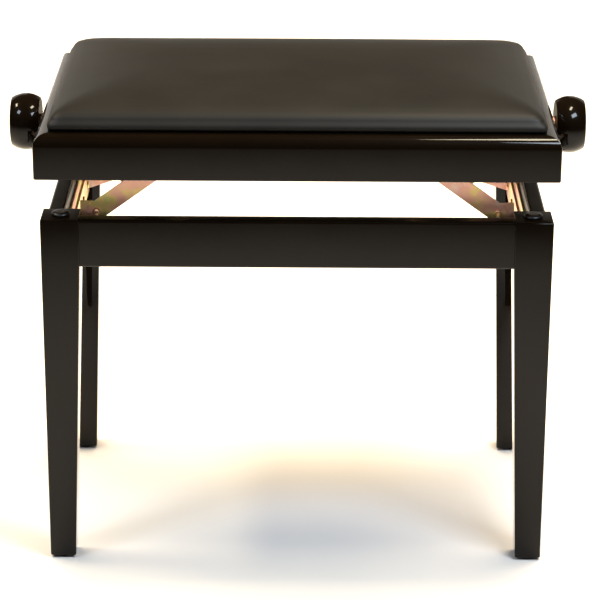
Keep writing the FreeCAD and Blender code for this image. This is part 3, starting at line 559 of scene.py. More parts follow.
def rounded_box(low: Pair, high: Pair, radius: float, steps: int) -> list[Pair]:
    """Returns a rectangle with rounded corners, in a plane.

    Args:
        low: Its lowest corner.
        high: Its highest corner.
        radius: Radius of its corners.
        steps: Number of steps in each corner.

    Returns:
        Its points, anticlockwise.
    """
    points: list[Pair] = []
    for right, upper, start in ((True, True, 0), (False, True, 90), (False, False, 180), (True, False, 270)):
        centre = (high[0] - radius if right else low[0] + radius, high[1] - radius if upper else low[1] + radius)
        points += arc(centre, radius, start, start + 90, steps)
    return points


def lathe(name: str, profile: Sequence[Pair], centre: Vector, axis: Vector, segments: int,
          sharp_deg: float = 32.0) -> Piece:
    """Turns a profile that starts and ends on the axis about it.

    Args:
        name: Name of the piece.
        profile: Radius and distance along the axis of each point, in metres.
        centre: Where the distance along the axis is zero.
        axis: Direction of the axis.
        segments: Number of steps round the axis.
        sharp_deg: Edges that turn by more than this stay sharp.

    Returns:
        The new object.
    """
    turn = UP.rotation_difference(axis).to_matrix()
    verts: list[Vector] = []
    for i in range(segments):
        angle = 2 * math.pi * i / segments
        way = Vector((math.cos(angle), math.sin(angle), 0))
        verts += [centre + turn @ (way * radius + Vector((0, 0, along))) for radius, along in profile]
    return make_piece(name, verts, strips(segments, len(profile), looped=True, closed=False), sharp_deg)


def ease_edges(piece: Piece, width: float, segments: int, angle_deg: float) -> None:
    """Rounds a piece's edges where its faces meet at an angle.

    Args:
        piece: The piece.
        width: Width of the rounding, in metres.
        segments: Number of steps across it.
        angle_deg: Edges that turn by more than this are rounded.
    """
    edge = piece.modifiers.new("edge_radius", "BEVEL")
    edge.width = width
    edge.segments = segments
    edge.limit_method = "ANGLE"
    edge.angle_limit = math.radians(angle_deg)
    edge.harden_normals = True


def merged(node: str) -> bmesh.types.BMesh:
    """Copies a CAD node's mesh and joins its triangles to each other.

    Args:
        node: Name of the node.

    Returns:
        The joined copy.
    """
    shape = bmesh.new()
    shape.from_mesh(frame["nodes"][node].data)
    bmesh.ops.remove_doubles(shape, verts=shape.verts, dist=WELD)
    return shape


def solid_boxes(node: str) -> list[tuple[Vector, Vector]]:
    """Finds the box of each separate solid of a CAD node.

    Args:
        node: Name of the node.

    Returns:
        Lowest and highest corner of each solid, sorted by place.
    """
    shape = merged(node)
    left = set(shape.verts)
    boxes = []
    while left:
        stack = [left.pop()]
        seen = list(stack)
        while stack:
            near = {vert for edge in stack.pop().link_edges for vert in edge.verts} & left
            left -= near
            stack += near
            seen += near
        low = Vector([min(v.co[i] for v in seen) for i in range(3)])
        high = Vector([max(v.co[i] for v in seen) for i in range(3)])
        boxes.append((low, high))
    shape.free()
    return sorted(boxes, key=lambda pair: tuple(round(c, 5) for c in pair[0]))


def softened(node: str, finish: Finish, body: str, width: float) -> Piece:
    """Makes a piece from a CAD node's shape, with flat faces whole again and small radii on its edges.

    Args:
        node: Name of the node that the piece stands for.
        finish: Its finish.
        body: Body that it rides on.
        width: Width of the edges' radii, in metres.

    Returns:
        The new piece.
    """
    shape = merged(node)
    bmesh.ops.dissolve_limit(shape, angle_limit=math.radians(0.8), verts=shape.verts, edges=shape.edges)
    piece = finish_mesh(f"{node}_softened", shape, sharp_deg=25.0)
    ease_edges(piece, width, segments=2, angle_deg=35)
    return settle(piece, body, finish, node)


# ---- geometry node trees ----
class GrowthTree:
    """A geometry node tree with named inputs, which ends in one real mesh with a finish."""

    name: str = "growth"
    inputs: tuple[tuple[str, str], ...] = ()

    def __init__(self) -> None:
        """Builds the tree: its inputs, what it grows, and the mesh that comes out."""
        self.tree = tree = bpy.data.node_groups.new(self.name, "GeometryNodeTree")
        for word, kind in (*self.inputs, ("Finish", "Material")):
            tree.interface.new_socket(word, in_out="INPUT", socket_type=f"NodeSocket{kind}")
        tree.interface.new_socket("Grown", in_out="OUTPUT", socket_type="NodeSocketGeometry")
        given = add_node(tree, "NodeGroupInput").outputs
        real = add_node(tree, "GeometryNodeRealizeInstances", {"Geometry": self.shape(tree, given)})
        coloured = add_node(tree, "GeometryNodeSetMaterial",
                            {"Geometry": real.outputs["Geometry"], "Material": given["Finish"]})
        add_node(tree, "NodeGroupOutput", {"Grown": coloured.outputs["Geometry"]})

    def shape(self, tree: Tree, given: bpy.types.NodeOutputs) -> Socket:
        """Adds the nodes that make the shape.

        Args:
            tree: The tree.
            given: The tree's inputs.

        Returns:
            The shape's geometry.
        """
        raise NotImplementedError

    def grow(self, name: str, mesh: bpy.types.Mesh, finish: Finish, values: dict[str, object]) -> Piece:
        """Runs the tree on a mesh, and keeps the result as one plain piece.

        Args:
            name: Name of the piece.
            mesh: What the tree starts from.
            finish: The piece's finish.
            values: Value of each other input.

        Returns:
            The new piece, with no modifier left.
        """
        piece = placed(name, mesh)
        maker = piece.modifiers.new("grow", "NODES")
        maker.node_group = self.tree
        values = values | {"Finish": finish.material()}
        for item in self.tree.interface.items_tree:
            if item.item_type == "SOCKET" and item.in_out == "INPUT" and item.name in values:
                maker[item.identifier] = values[item.name]
        depsgraph = bpy.context.evaluated_depsgraph_get()
        depsgraph.update()
        result = bpy.data.meshes.new_from_object(piece.evaluated_get(depsgraph), depsgraph=depsgraph)
        piece.modifiers.remove(maker)
        piece.data = result
        bpy.data.meshes.remove(mesh)
        result.name = name
        result.shade_smooth()
        result.set_sharp_from_angle(angle=math.radians(32))
        return piece


class FastenerTree(GrowthTree):
    """Sets a fastener on each point, turned to the point's own direction and by a random angle about it."""

    name = "fasteners_on_points"
    inputs = (("Places", "Geometry"), ("Fastener", "Object"), ("Seed", "Int"))

    def shape(self, tree: Tree, given: bpy.types.NodeOutputs) -> Socket:
        """Adds the nodes that turn the fasteners and set them in their places."""
        facing = add_node(tree, "GeometryNodeInputNamedAttribute", {"Name": "facing"}, data_type="FLOAT_VECTOR")
        turn = add_node(tree, "FunctionNodeAlignRotationToVector", {"Vector": facing.outputs["Attribute"]}, axis="Z")
        spin = add_node(tree, "FunctionNodeRandomValue", {3: 2 * math.pi, "Seed": given["Seed"]}, data_type="FLOAT")
        about = add_node(tree, "FunctionNodeAxisAngleToRotation", {"Angle": spin.outputs[1]})
        both = add_node(tree, "FunctionNodeRotateRotation",
                        {"Rotation": turn.outputs["Rotation"], "Rotate By": about.outputs["Rotation"]},
                        rotation_space="LOCAL")
        shape = add_node(tree, "GeometryNodeObjectInfo", {"Object": given["Fastener"]})
        return add_node(tree, "GeometryNodeInstanceOnPoints",
                        {"Points": given["Places"], "Instance": shape.outputs["Geometry"],
                         "Rotation": both.outputs["Rotation"]}).outputs["Instances"]

    def array(self, name: str, places: Sequence[tuple[Vector, Vector]], fastener: Piece, finish: Finish,
              seed: int) -> Piece:
        """Sets a fastener at each place.

        Args:
            name: Name of the piece.
            places: Seat and outward direction of each fastener.
            fastener: The fastener's shape, which faces along +Z from its seat at the origin. It is used up.
            finish: The fasteners' finish.
            seed: Seed of the random turns.

        Returns:
            The fasteners, as one piece.
        """
        mesh = bpy.data.meshes.new(name)
        mesh.from_pydata([seat for seat, _ in places], [], [])
        facing = mesh.attributes.new("facing", "FLOAT_VECTOR", "POINT")
        facing.data.foreach_set("vector", [c for _, way in places for c in way])
        piece = self.grow(name, mesh, finish, {"Fastener": fastener, "Seed": seed})
        bpy.data.objects.remove(fastener)
        return piece


class ThreadTree(GrowthTree):
    """Winds a trapezoid thread along +X from a point."""

    name = "trapezoid_thread"
    inputs = (("Geometry", "Geometry"), ("Turns", "Float"), ("Lead", "Float"), ("Root Radius", "Float"),
              ("Depth", "Float"), ("Height", "Float"), ("Left Hand", "Bool"), ("Start", "Vector"))
    root_share: float = 0.64
    crest_share: float = 0.36
    resolution: int = 28

    def shape(self, tree: Tree, given: bpy.types.NodeOutputs) -> Socket:
        """Adds the nodes that draw the helix and the thread's section."""
        middle = add_node(tree, "ShaderNodeMath", {0: given["Depth"], 1: 0.5, 2: given["Root Radius"]},
                          operation="MULTIPLY_ADD").outputs[0]
        helix = add_node(tree, "GeometryNodeCurveSpiral",
                         {"Resolution": self.resolution, "Rotations": given["Turns"], "Start Radius": middle,
                          "End Radius": middle, "Height": given["Height"], "Reverse": given["Left Hand"]})
        upright = add_node(tree, "GeometryNodeSetCurveNormal", {"Curve": helix.outputs["Curve"]}, mode="Z_UP")
        wide, narrow = (add_node(tree, "ShaderNodeMath", {0: given["Lead"], 1: share}, operation="MULTIPLY").outputs[0]
                        for share in (self.root_share, self.crest_share))
        section = add_node(tree, "GeometryNodeCurvePrimitiveQuadrilateral",
                           {"Height": given["Depth"], "Bottom Width": wide, "Top Width": narrow, "Offset": 0.0},
                           mode="TRAPEZOID")
        ridge = add_node(tree, "GeometryNodeCurveToMesh",
                         {"Curve": upright.outputs["Curve"], "Profile Curve": section.outputs["Curve"],
                          "Fill Caps": True})
        return add_node(tree, "GeometryNodeTransform",
                        {"Geometry": ridge.outputs["Mesh"], "Translation": given["Start"],
                         "Rotation": Euler((0, math.pi / 2, 0))}).outputs["Geometry"]

    def wind(self, name: str, start: Vector, length: float, lead: float, root: float, depth: float,
             left_hand: bool, finish: Finish) -> Piece:
        """Winds one thread.

        Args:
            name: Name of the piece.
            start: Middle of the thread's first end.
            length: Its length along +X.
            lead: How far a turn goes along the axis.
            root: Radius at its root.
            depth: Its height above the root.
            left_hand: Whether it is a left-hand thread.
            finish: Its finish.

        Returns:
            The thread.
        """
        values = {"Turns": length / lead, "Lead": lead, "Root Radius": root, "Depth": depth, "Height": length,
                  "Left Hand": left_hand, "Start": start}
        return self.grow(name, bpy.data.meshes.new(name), finish, values)


# ---- the bench's own parts ----
@dataclass
class SeatFrame:
    """The seat frame: four mitred rails with a quarter-round upper edge, and the board under the cushion."""

    edge_radius: float = 13 * MM
    lower_radius: float = 1.5 * MM
    corner_radius: float = 2.5 * MM
    inner_radius: float = 0.5 * MM
    rebate: float = 5 * MM
    board_edge: float = 0.3 * MM
    block_edge: float = 0.6 * MM
    edge_steps: int = 14
    lower_steps: int = 4
    corner_steps: int = 6

    def profile(self) -> list[Pair]:
        """Draws a rail's section.

        Returns:
            Its points, as distance inwards from the outer face and height.
        """
        low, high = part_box("seat_rail_front")
        thick = high.y - low.y
        board_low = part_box("seat_board")[0].z
        r, e, i = self.lower_radius, self.edge_radius, self.inner_radius
        points = arc((r, low.z + r), r, 270, 180, self.lower_steps)
        points += arc((e, high.z - e), e, 180, 90, self.edge_steps)
        points += [(thick - self.rebate, high.z), (thick - self.rebate, board_low), (thick - i, board_low)]
        points += [(thick, board_low - i), (thick, low.z + i), (thick - i, low.z)]
        return points

    def rail(self, word: str, half_long: float, half_deep: float, turn_deg: float) -> None:
        """Makes the rail that runs along the front once the frame is turned, with its mitred, eased ends.

        Args:
            word: The rail's word in the names of nodes.
            half_long: Half the frame's size along the rail.
            half_deep: Half its size across the rail.
            turn_deg: How far the rail is turned from the front, about Z.
        """
        turn = Matrix.Rotation(math.radians(turn_deg), 3, "Z")
        columns: list[Ring] = []
        for inward, z in self.profile():
            reach = max(self.corner_radius, inward)
            bend = reach - inward
            left = arc((-half_long + reach, -half_deep + reach), bend, 225, 270, self.corner_steps)
            right = arc((half_long - reach, -half_deep + reach), bend, 270, 315, self.corner_steps)
            columns.append([turn @ Vector((x, y, z)) for x, y in left + right])
        rings = [list(ring) for ring in zip(*columns)]
        piece = settle(loft(f"moulded_rail_{word}", rings), "seat", LACQUER, f"seat_rail_{word}")
        dull_faces(piece, turn @ Vector((0, 1, 0)), *([UP] if word == "front" else []))

    def build(self) -> None:
        """Makes the four rails, and dresses what lies inside the frame."""
        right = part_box("seat_rail_right")[1].x
        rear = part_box("seat_rail_rear")[1].y
        for word, half_long, half_deep, turn_deg in (("front", right, rear, 0), ("right", rear, right, 90),
                                                     ("rear", right, rear, 180), ("left", rear, right, 270)):
            self.rail(word, half_long, half_deep, turn_deg)
        softened("seat_board", DARK_PLYWOOD, "seat", self.board_edge)
        softened("corner_blocks", DARK_PLYWOOD, "seat", self.block_edge)


@dataclass
class Cushion:
    """The seat cushion: foam under a tight cover, steep at its edge and crowned in the middle."""

    crown: float = 35 * MM
    fullness: float = 2.7
    wall: float = 7 * MM
    corner_radius: float = 8 * MM
    corner_growth: float = 0.25
    corner_steps: int = 8
    shrink: float = 1.5 * MM
    voxel: float = 4.5 * MM
    pressure: float = 4.0
    stiffness: float = 25.0
    quality: int = 5
    frames: int = 20
    tacked: float = 1.5 * MM
    cap: float = 1.1 * MM
    tuck: float = 12 * MM
    smoothing: int = 60
    bulge: float = 2.0 * MM
    gap: float = 0.2 * MM
    shares: tuple[float, ...] = (0.0, 0.004, 0.012, 0.025, 0.045, 0.075, 0.12, 0.18, 0.26, 0.36, 0.48, 0.62, 0.78, 0.92)

    def outline(self, half_x: float, half_y: float, radius: float, z: float) -> Ring:
        """Returns a level rectangle with rounded corners."""
        points = rounded_box((-half_x, -half_y), (half_x, half_y), radius, self.corner_steps)
        return [Vector((x, y, z)) for x, y in points]

    def blank(self) -> Piece:
        """Makes the foam's shape, a little smaller than the finished cushion.

        Returns:
            The foam, as a piece.
        """
        low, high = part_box("cushion")
        half_x, half_y = high.x - self.shrink, high.y - self.shrink
        rings = [self.outline(half_x, half_y, self.corner_radius, low.z)]
        for share in self.shares:
            rise = (1 - (1 - share) ** self.fullness) ** (1 / self.fullness)
            inset = half_y * share
            radius = min(self.corner_radius + inset * self.corner_growth, half_y - inset)
            z = low.z + self.wall + (self.crown - self.shrink - self.wall) * rise
            rings.append(self.outline(half_x - inset, half_y - inset, radius, z))
        return loft("crowned_cushion", rings)

    def bake(self, pad: Piece) -> None:
        """Turns the cushion's modifiers into its plain mesh.

        Args:
            pad: The cushion, which gets the new mesh.
        """
        depsgraph = bpy.context.evaluated_depsgraph_get()
        pad_mesh = bpy.data.meshes.new_from_object(pad.evaluated_get(depsgraph), depsgraph=depsgraph)
        pad.modifiers.clear()
        pad.data = pad_mesh
        pad_mesh.name = pad.name

    def inflate(self, pad: Piece) -> np.ndarray:
        """Fills the cover with a cloth simulation.

        Args:
            pad: The remeshed cushion, whose mesh stays as it is.

        Returns:
            How far each point moves, in metres.
        """
        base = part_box("cushion")[0].z
        rest = [v.co.copy() for v in pad.data.vertices]
        held = pad.vertex_groups.new(name="tacked")
        held.add([i for i, co in enumerate(rest) if co.z < base + self.tacked], 1.0, "REPLACE")
        cloth = pad.modifiers.new("cover", "CLOTH")
        settings = cloth.settings
        settings.use_pressure = True
        settings.uniform_pressure_force = self.pressure
        settings.effector_weights.gravity = 0
        settings.vertex_group_mass = held.name
        settings.quality = self.quality
        settings.tension_stiffness = settings.compression_stiffness = self.stiffness
        scene = bpy.context.scene
        for number in range(1, self.frames + 1):
            scene.frame_set(number)
        done = pad.evaluated_get(bpy.context.evaluated_depsgraph_get())
        steps = np.array([v.co - start for v, start in zip(done.data.vertices, rest)])
        scene.frame_set(1)
        pad.modifiers.remove(cloth)
        return steps

    def swell(self, pad: Piece) -> None:
        """Moves the cover outwards as the simulation does, but holds each point near the foam.

        Args:
            pad: The remeshed cushion, whose mesh is changed.
        """
        steps = self.inflate(pad)
        start = np.array([v.co for v in pad.data.vertices])
        outward = np.array([v.normal for v in pad.data.vertices])
        steps = outward * np.maximum(0.0, (steps * outward).sum(axis=1))[:, None]
        limit = self.cap * np.clip((start[:, 2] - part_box("cushion")[0].z) / self.tuck, 0.0, 1.0)
        length = np.maximum(np.linalg.norm(steps, axis=1), 1e-9)
        steps *= np.minimum(1.0, limit / length)[:, None]
        edges = np.array([edge.vertices[:] for edge in pad.data.edges])
        count = np.bincount(edges.ravel(), minlength=len(start))[:, None]
        for _ in range(self.smoothing):
            near = np.zeros_like(steps)
            np.add.at(near, edges[:, 0], steps[edges[:, 1]])
            np.add.at(near, edges[:, 1], steps[edges[:, 0]])
            steps = (steps + near / count) / 2
        for vert, place in zip(pad.data.vertices, start + steps):
            vert.co = place

    def seat_edge(self, pad: Piece) -> None:
        """Draws the cover's lower edge out to the rebate, where it is tucked in, and rests it on the board.

        Args:
            pad: The cushion, whose mesh is changed.
        """
        low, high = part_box("cushion")
        verts = pad.data.vertices
        foot = [v.co for v in verts if v.co.z < low.z + self.tuck / 2]
        grow_x = high.x / max(co.x for co in foot) - 1
        grow_y = high.y / max(co.y for co in foot) - 1
        base = min(co.z for co in foot)
        for vert in verts:
            rise = min(1.0, (vert.co.z - base) / self.tuck)
            share = (1 - rise) ** 2 * (1 + 2 * rise)
            belly = self.bulge * math.sin(math.pi * rise)
            vert.co.x *= 1 + grow_x * share + belly / high.x
            vert.co.y *= 1 + grow_y * share + belly / high.y
            vert.co.z += (low.z + self.gap - base) * share

    def build(self) -> None:
        """Makes the cushion and has it stand for the plain CAD solid."""
        pad = self.blank()
        remesh = pad.modifiers.new("even", "REMESH")
        remesh.mode = "VOXEL"
        remesh.voxel_size = self.voxel
        self.bake(pad)
        self.swell(pad)
        rounder = pad.modifiers.new("rounder", "SUBSURF")
        rounder.levels = rounder.render_levels = 1
        self.bake(pad)
        self.seat_edge(pad)
        pad.data.shade_smooth()
        settle(pad, "seat", LEATHERETTE, "cushion")


@dataclass
class Base:
    """The base: four tapered legs, four rails, glides and rubber bumpers."""

    foot_size: float = 28 * MM
    foot_bevel: float = 2 * MM
    edge_radius: float = 1.2 * MM
    edge_steps: int = 4
    rail_radius: float = 3 * MM
    rail_steps: int = 6
    glide_edge: float = 0.3 * MM
    dome_foot: float = 0.97
    dome_flat: float = 0.55
    dome_wall: float = 0.25

    def ring(self, side: Side, end: End, size: float, inset: float, z: float) -> Ring:
        """Returns a leg's level outline with eased corners.

        Args:
            side: Side of the leg.
            end: End of the leg.
            size: Size of the leg there, inwards from its outer corner.
            inset: How far the outline is drawn in all round.
            z: Its height.

        Returns:
            The outline.
        """
        low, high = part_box(f"leg_{end.word}_{side.word}")
        x = (high if side is Side.RIGHT else low).x - side.value * size / 2
        y = (high if end is End.REAR else low).y - end.value * size / 2
        half = size / 2 - inset
        points = rounded_box((x - half, y - half), (x + half, y + half), self.edge_radius, self.edge_steps)
        return [Vector((*point, z)) for point in points]

    def leg(self, side: Side, end: End) -> None:
        """Makes one leg: square at the rails, tapered below them on its two inner faces.

        Args:
            side: Side of the leg.
            end: End of the leg.
        """
        node = f"leg_{end.word}_{side.word}"
        low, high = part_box(node)
        foot, top, bevel, r = self.foot_size, high.x - low.x, self.foot_bevel, self.edge_radius
        # The foot's lower edge is rounded in two steps, and the leg's top edge along an arc.
        levels = [(foot, bevel, low.z), (foot, 0.35 * bevel, low.z + 0.3 * bevel), (foot, 0.0, low.z + bevel),
                  (top, 0.0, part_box("base_rail_front")[0].z)]
        levels += [(top, inset, z) for inset, z in arc((r, high.z - r), r, 180, 90, self.edge_steps)]
        rings = [self.ring(side, end, *level) for level in levels]
        dull_faces(settle(loft(f"tapered_{node}", rings), "base", LACQUER, node), UP)

    def rail(self, word: str) -> None:
        """Makes one rail of the base, with rounded long edges, between two legs.

        Args:
            word: The rail's word in the names of nodes.
        """
        node = f"base_rail_{word}"
        low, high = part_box(node)
        along = 0 if word in ("front", "rear") else 1
        across = 1 - along
        section = rounded_box((low[across], low.z), (high[across], high.z), self.rail_radius, self.rail_steps)
        rings = [[Vector((end, u, z) if along == 0 else (u, end, z)) for u, z in section]
                 for end in (low[along], high[along])]
        inward = Vector((0, 0, 0))
        inward[across] = -1 if low[across] > 0 else 1
        dull_faces(settle(loft(f"rounded_{node}", rings), "base", LACQUER, node), inward, UP)

    def bumpers(self) -> None:
        """Makes the four rubber bumpers, low domes on top of the legs, as one piece."""
        leg_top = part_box("leg_front_left")[1].z
        flat, wall = self.dome_flat, self.dome_wall
        joined = bmesh.new()
        for low, high in solid_boxes("leg_bumpers"):
            radius, height = (high.x - low.x) / 2, high.z - leg_top
            profile = [(0.0, 0.0), (radius * self.dome_foot, 0.0)]
            profile += [(radius * (flat + (1 - flat) * c), height * (wall + (1 - wall) * s))
                        for c, s in arc((0, 0), 1.0, 0, 90, 10)]
            profile.append((0.0, height))
            centre = Vector(((low.x + high.x) / 2, (low.y + high.y) / 2, leg_top))
            one = lathe("bumper", profile, centre, UP, segments=40)
            joined.from_mesh(one.data)
            bpy.data.objects.remove(one)
        settle(finish_mesh("domed_bumpers", joined), "base", RUBBER, "leg_bumpers")

    def build(self) -> None:
        """Makes the legs and rails, and dresses the small parts."""
        for side in Side:
            for end in End:
                self.leg(side, end)
        for word in ("front", "rear", "left", "right"):
            self.rail(word)
        self.bumpers()
        softened("leg_glides", NYLON, "base", self.glide_edge)
        dress_node("rail_dowels", BEECH)


@dataclass
class Lift:
    """The steel lift: brackets, arms, links, cross bars, rivets and screws."""

    sheet_edge: float = 0.45 * MM
    clip_edge: float = 0.2 * MM
    rivet_edge: float = 0.15 * MM
    screw_radius: float = 4.2 * MM
    screw_height: float = 2.0 * MM
    cross_length: float = 2.1 * MM
    cross_width: float = 0.55 * MM
    cross_depth: float = 1.2 * MM
    cross_taper: float = 0.55
    screw_crown: tuple[Pair, ...] = ((1.0, 0.0), (1.0, 0.45), (0.93, 0.75), (0.78, 0.94), (0.6, 1.0))
    fasteners: FastenerTree = field(default_factory=FastenerTree)

    def screw_head(self) -> Piece:
        """Makes a pan head with a cross recess.

        Returns:
            The head, which faces along +Z from its seat at the origin.
        """
        corner = math.atan2(self.cross_width, self.cross_length)
        between = (corner + math.pi / 4) / 2
        quarter = [0.0, corner, between, math.pi / 4, math.pi / 2 - between, math.pi / 2 - corner]
        angles = [a + turn * math.pi / 2 for turn in range(4) for a in quarter]

        def ring(reaches: Iterable[float], z: float) -> Ring:
            """Returns the ring with these distances from the axis, at a height."""
            return [Vector((reach * math.cos(a), reach * math.sin(a), z)) for reach, a in zip(reaches, angles)]

        cross = []
        for a in angles:
            c, s = max(abs(math.cos(a)), 1e-9), max(abs(math.sin(a)), 1e-9)
            cross.append(max(min(self.cross_length / c, self.cross_width / s),
                             min(self.cross_width / c, self.cross_length / s)))
        height = self.screw_height
        rings = [ring([self.screw_radius * out] * len(angles), height * up) for out, up in self.screw_crown]
        rings += [ring(cross, height), ring([reach * self.cross_taper for reach in cross], height - self.cross_depth)]
        return loft("pan_head", rings)

    def screws(self, name: str, node: str, body: str, seed: int) -> None:
        """Sets heads on a node's screws, which face down under the corner blocks and inwards elsewhere.

        Args:
            name: Name of the piece.
            node: CAD node of the screws.
            body: Body that they ride on.
            seed: Seed of their random turns.
        """
        places = []
        for low, high in solid_boxes(node):
            out = -UP if node == "block_screws" else Vector((-1 if low.x > 0 else 1, 0, 0))
            reach = abs((high - low).dot(out)) / 2 - self.screw_height
            places.append(((low + high) / 2 + out * reach, out))
        settle(self.fasteners.array(name, places, self.screw_head(), ZINC, seed), body, ZINC, node)

    def steelwork(self) -> None:
        """Makes the brackets, arms, links and cross bars with eased edges."""
        for side in Side:
            softened(f"base_bracket_{side.word}", ZINC, "base", self.sheet_edge)
            softened(f"seat_bracket_{side.word}", ZINC, "seat", self.sheet_edge)
            softened(f"nut_bar_{side.word}", ZINC, f"bar_{side.word}", self.sheet_edge)
            softened(f"bar_clips_{side.word}", BLACK_STEEL, f"bar_{side.word}", self.clip_edge)
            for end in End:
                softened(f"long_arm_{end.word}_{side.word}", ZINC, f"arms_{side.word}", self.sheet_edge)
                softened(f"short_link_{end.word}_{side.word}", ZINC, f"links_{side.word}", self.sheet_edge)

    def build(self) -> None:
        """Makes the whole lift. The rivets' heads and rolled ends are turned shapes of the CAD model."""
        self.steelwork()
        for node, body in (("lower_rivets", "base"), ("link_rivets", "seat"), ("middle_rivets_left", "arms_left"),
                           ("middle_rivets_right", "arms_right")):
            softened(node, ZINC, body, self.rivet_edge)
        self.screws("base_bracket_screws_heads", "base_bracket_screws", "base", 1)
        self.screws("seat_bracket_screws_heads", "seat_bracket_screws", "seat", 2)
        self.screws("block_screw_heads", "block_screws", "seat", 3)


@dataclass
class SpindleSet:
    """The spindle with its two opposite threads, its bearings, ferrules and knobs."""

    journal: float = 5 * MM
    shoulder: float = 1 * MM
    end_bevel: float = 0.8 * MM
    lead: float = 4 * MM
    thread_depth: float = 1.2 * MM
    thread_gap: float = 2 * MM
    thread_spare: float = 22 * MM
    knob_rim: float = 26.5 * MM
    knob_dome: float = 2 * MM
    knob_edge: float = 1.0 * MM
    small_edge: float = 0.3 * MM
    rose_edge: float = 0.2 * MM
    rim_steps: int = 28
    dome_steps: int = 8
    threads: ThreadTree = field(default_factory=ThreadTree)

    def axis_z(self) -> float:
        """Returns the height of the spindle's axis."""
        low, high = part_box("spindle")
        return (low.z + high.z) / 2

    def shaft(self) -> None:
        """Makes the spindle's core and winds a thread on each half of it."""
        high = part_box("spindle")[1]
        root = high.y - self.thread_depth
        thread_end = solid_boxes("spindle_collars")[-1][0].x - self.thread_gap
        thread_start = solid_boxes("nut_bar_right")[0][0].x - self.thread_spare
        centre = Vector((0, 0, self.axis_z()))
        half = [(root, thread_end), (self.journal, thread_end + self.shoulder),
                (self.journal, high.x - self.end_bevel), (self.journal - self.end_bevel, high.x), (0.0, high.x)]
        profile = [(r, -x) for r, x in reversed(half)] + half
        core = lathe("spindle_core", profile, centre, Vector((1, 0, 0)), segments=48)
        settle(core, "spindle", DARK_ZINC, "spindle")
        for side in Side:
            start = Vector((thread_start if side is Side.RIGHT else -thread_end, 0, centre.z))
            piece = self.threads.wind(f"spindle_thread_{side.word}", start, thread_end - thread_start, self.lead,
                                      root, self.thread_depth, side is Side.LEFT, DARK_ZINC)
            settle(piece, "spindle", DARK_ZINC)
        LOG.info("threads run from %.4f to %.4f m on each half", thread_start, thread_end)

    def knob(self, side: Side) -> None:
        """Makes one knob: a barrel with a crowned rim, eased edges and a slightly domed outer face.

        Args:
            side: Side of the knob.
        """
        node = f"knob_{side.word}"
        low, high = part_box(node)
        length = high.x - low.x - self.knob_dome
        bulge, half = (high.z - low.z) / 2, length / 2
        sag = bulge - self.knob_rim
        radius = (half * half + sag * sag) / (2 * sag)
        spread = math.degrees(math.asin(half / radius))
        profile = [(0.0, 0.0)]
        profile += [(r + bulge - radius, a + half)
                    for a, r in arc((0, 0), radius, 90 + spread, 90 - spread, self.rim_steps)]
        dome_radius = (self.knob_rim**2 + self.knob_dome**2) / (2 * self.knob_dome)
        for i in range(1, self.dome_steps + 1):
            r = self.knob_rim * (1 - i / self.dome_steps)
            profile.append((r, length + self.knob_dome - dome_radius + math.sqrt(dome_radius**2 - r * r)))
        inner = Vector((low.x if side is Side.RIGHT else high.x, 0, self.axis_z()))
        out = Vector((side.value, 0, 0))
        piece = lathe(f"barrel_{node}", profile, inner, out, segments=96, sharp_deg=50.0)
        ease_edges(piece, self.knob_edge, segments=4, angle_deg=40)
        dull_faces(settle(piece, "spindle", LACQUER, node), -out)

    def build(self) -> None:
        """Makes the spindle, its bearings and its knobs."""
        self.shaft()
        for side in Side:
            self.knob(side)
            softened(f"spindle_bush_{side.word}", NYLON, "seat", self.small_edge)
        softened("spindle_roses", ZINC, "seat", self.rose_edge)
        softened("spindle_collars", ZINC, "spindle", self.small_edge)
        softened("knob_ferrules", ZINC, "spindle", self.small_edge)
        dress_node("collar_screws", BLACK_STEEL)


@dataclass(frozen=True)
class Lamp:
    """A rectangular soft light that faces a point. A glow of 1 looks as bright as a white surface in full light."""

    name: str
    place: Point
    target: Point
    size: Pair
    glow: float
    tint: str
    mirrored: bool = True
    spread_deg: float = 180.0

    def hang(self) -> Piece:
        """Adds the light to the scene, hidden from the camera.

        Returns:
            The light.
        """
        data = bpy.data.lights.new(self.name, "AREA")
        data.shape = "RECTANGLE"
        data.size, data.size_y = self.size
        data.energy = self.glow * math.pi * self.size[0] * self.size[1]
        data.color = linear(self.tint)[:3]
        data.spread = math.radians(self.spread_deg)
        lamp = placed(self.name, data)
        way = Vector(self.target) - Vector(self.place)
        lamp.matrix_world = Matrix.Translation(self.place) @ way.to_track_quat("-Z", "Y").to_matrix().to_4x4()
        lamp.visible_glossy = self.mirrored
        lamp.visible_camera = False
        return lamp


MIDDLE = (0.0, 0.0, 0.45)
CREAM, WARM, COOL = "#fff6ea", "#fff0cf", "#e6f1ff"
LAMPS = (
    Lamp("low_backdrop", (0.0, 2.75, 0.32), (0.0, 0.0, 0.32), (1.9, 0.64), 1.6, CREAM),
    Lamp("backdrop_left", (-1.52, 2.75, 0.95), (-0.3, 0.0, 0.5), (2.16, 1.90), 0.75, CREAM),
    Lamp("backdrop_right", (1.52, 2.75, 0.95), (0.3, 0.0, 0.5), (2.16, 1.90), 0.58, CREAM),
    Lamp("soft_top", (0.0, 1.0, 2.6), (0.0, 1.0, 0.0), (3.6, 2.0), 4.3, "#ffeacb", mirrored=False, spread_deg=110),
    Lamp("warm_left", (-1.21, 0.12, 1.86), MIDDLE, (0.38, 0.19), 45.0, WARM),
    Lamp("cool_left", (-1.02, -0.80, 1.66), MIDDLE, (0.36, 0.36), 22.0, COOL),
    Lamp("warm_right", (0.36, -0.18, 1.80), MIDDLE, (0.38, 0.19), 45.0, WARM),
    Lamp("cool_right", (0.60, -0.72, 1.40), MIDDLE, (0.50, 0.30), 28.0, COOL),
)
STEEL_FILL = Lamp("steel_fill", (0.0, -3.4, 1.25), (0.0, 0.0, 0.42), (2.6, 1.4), 2.4, "#fff8ee")


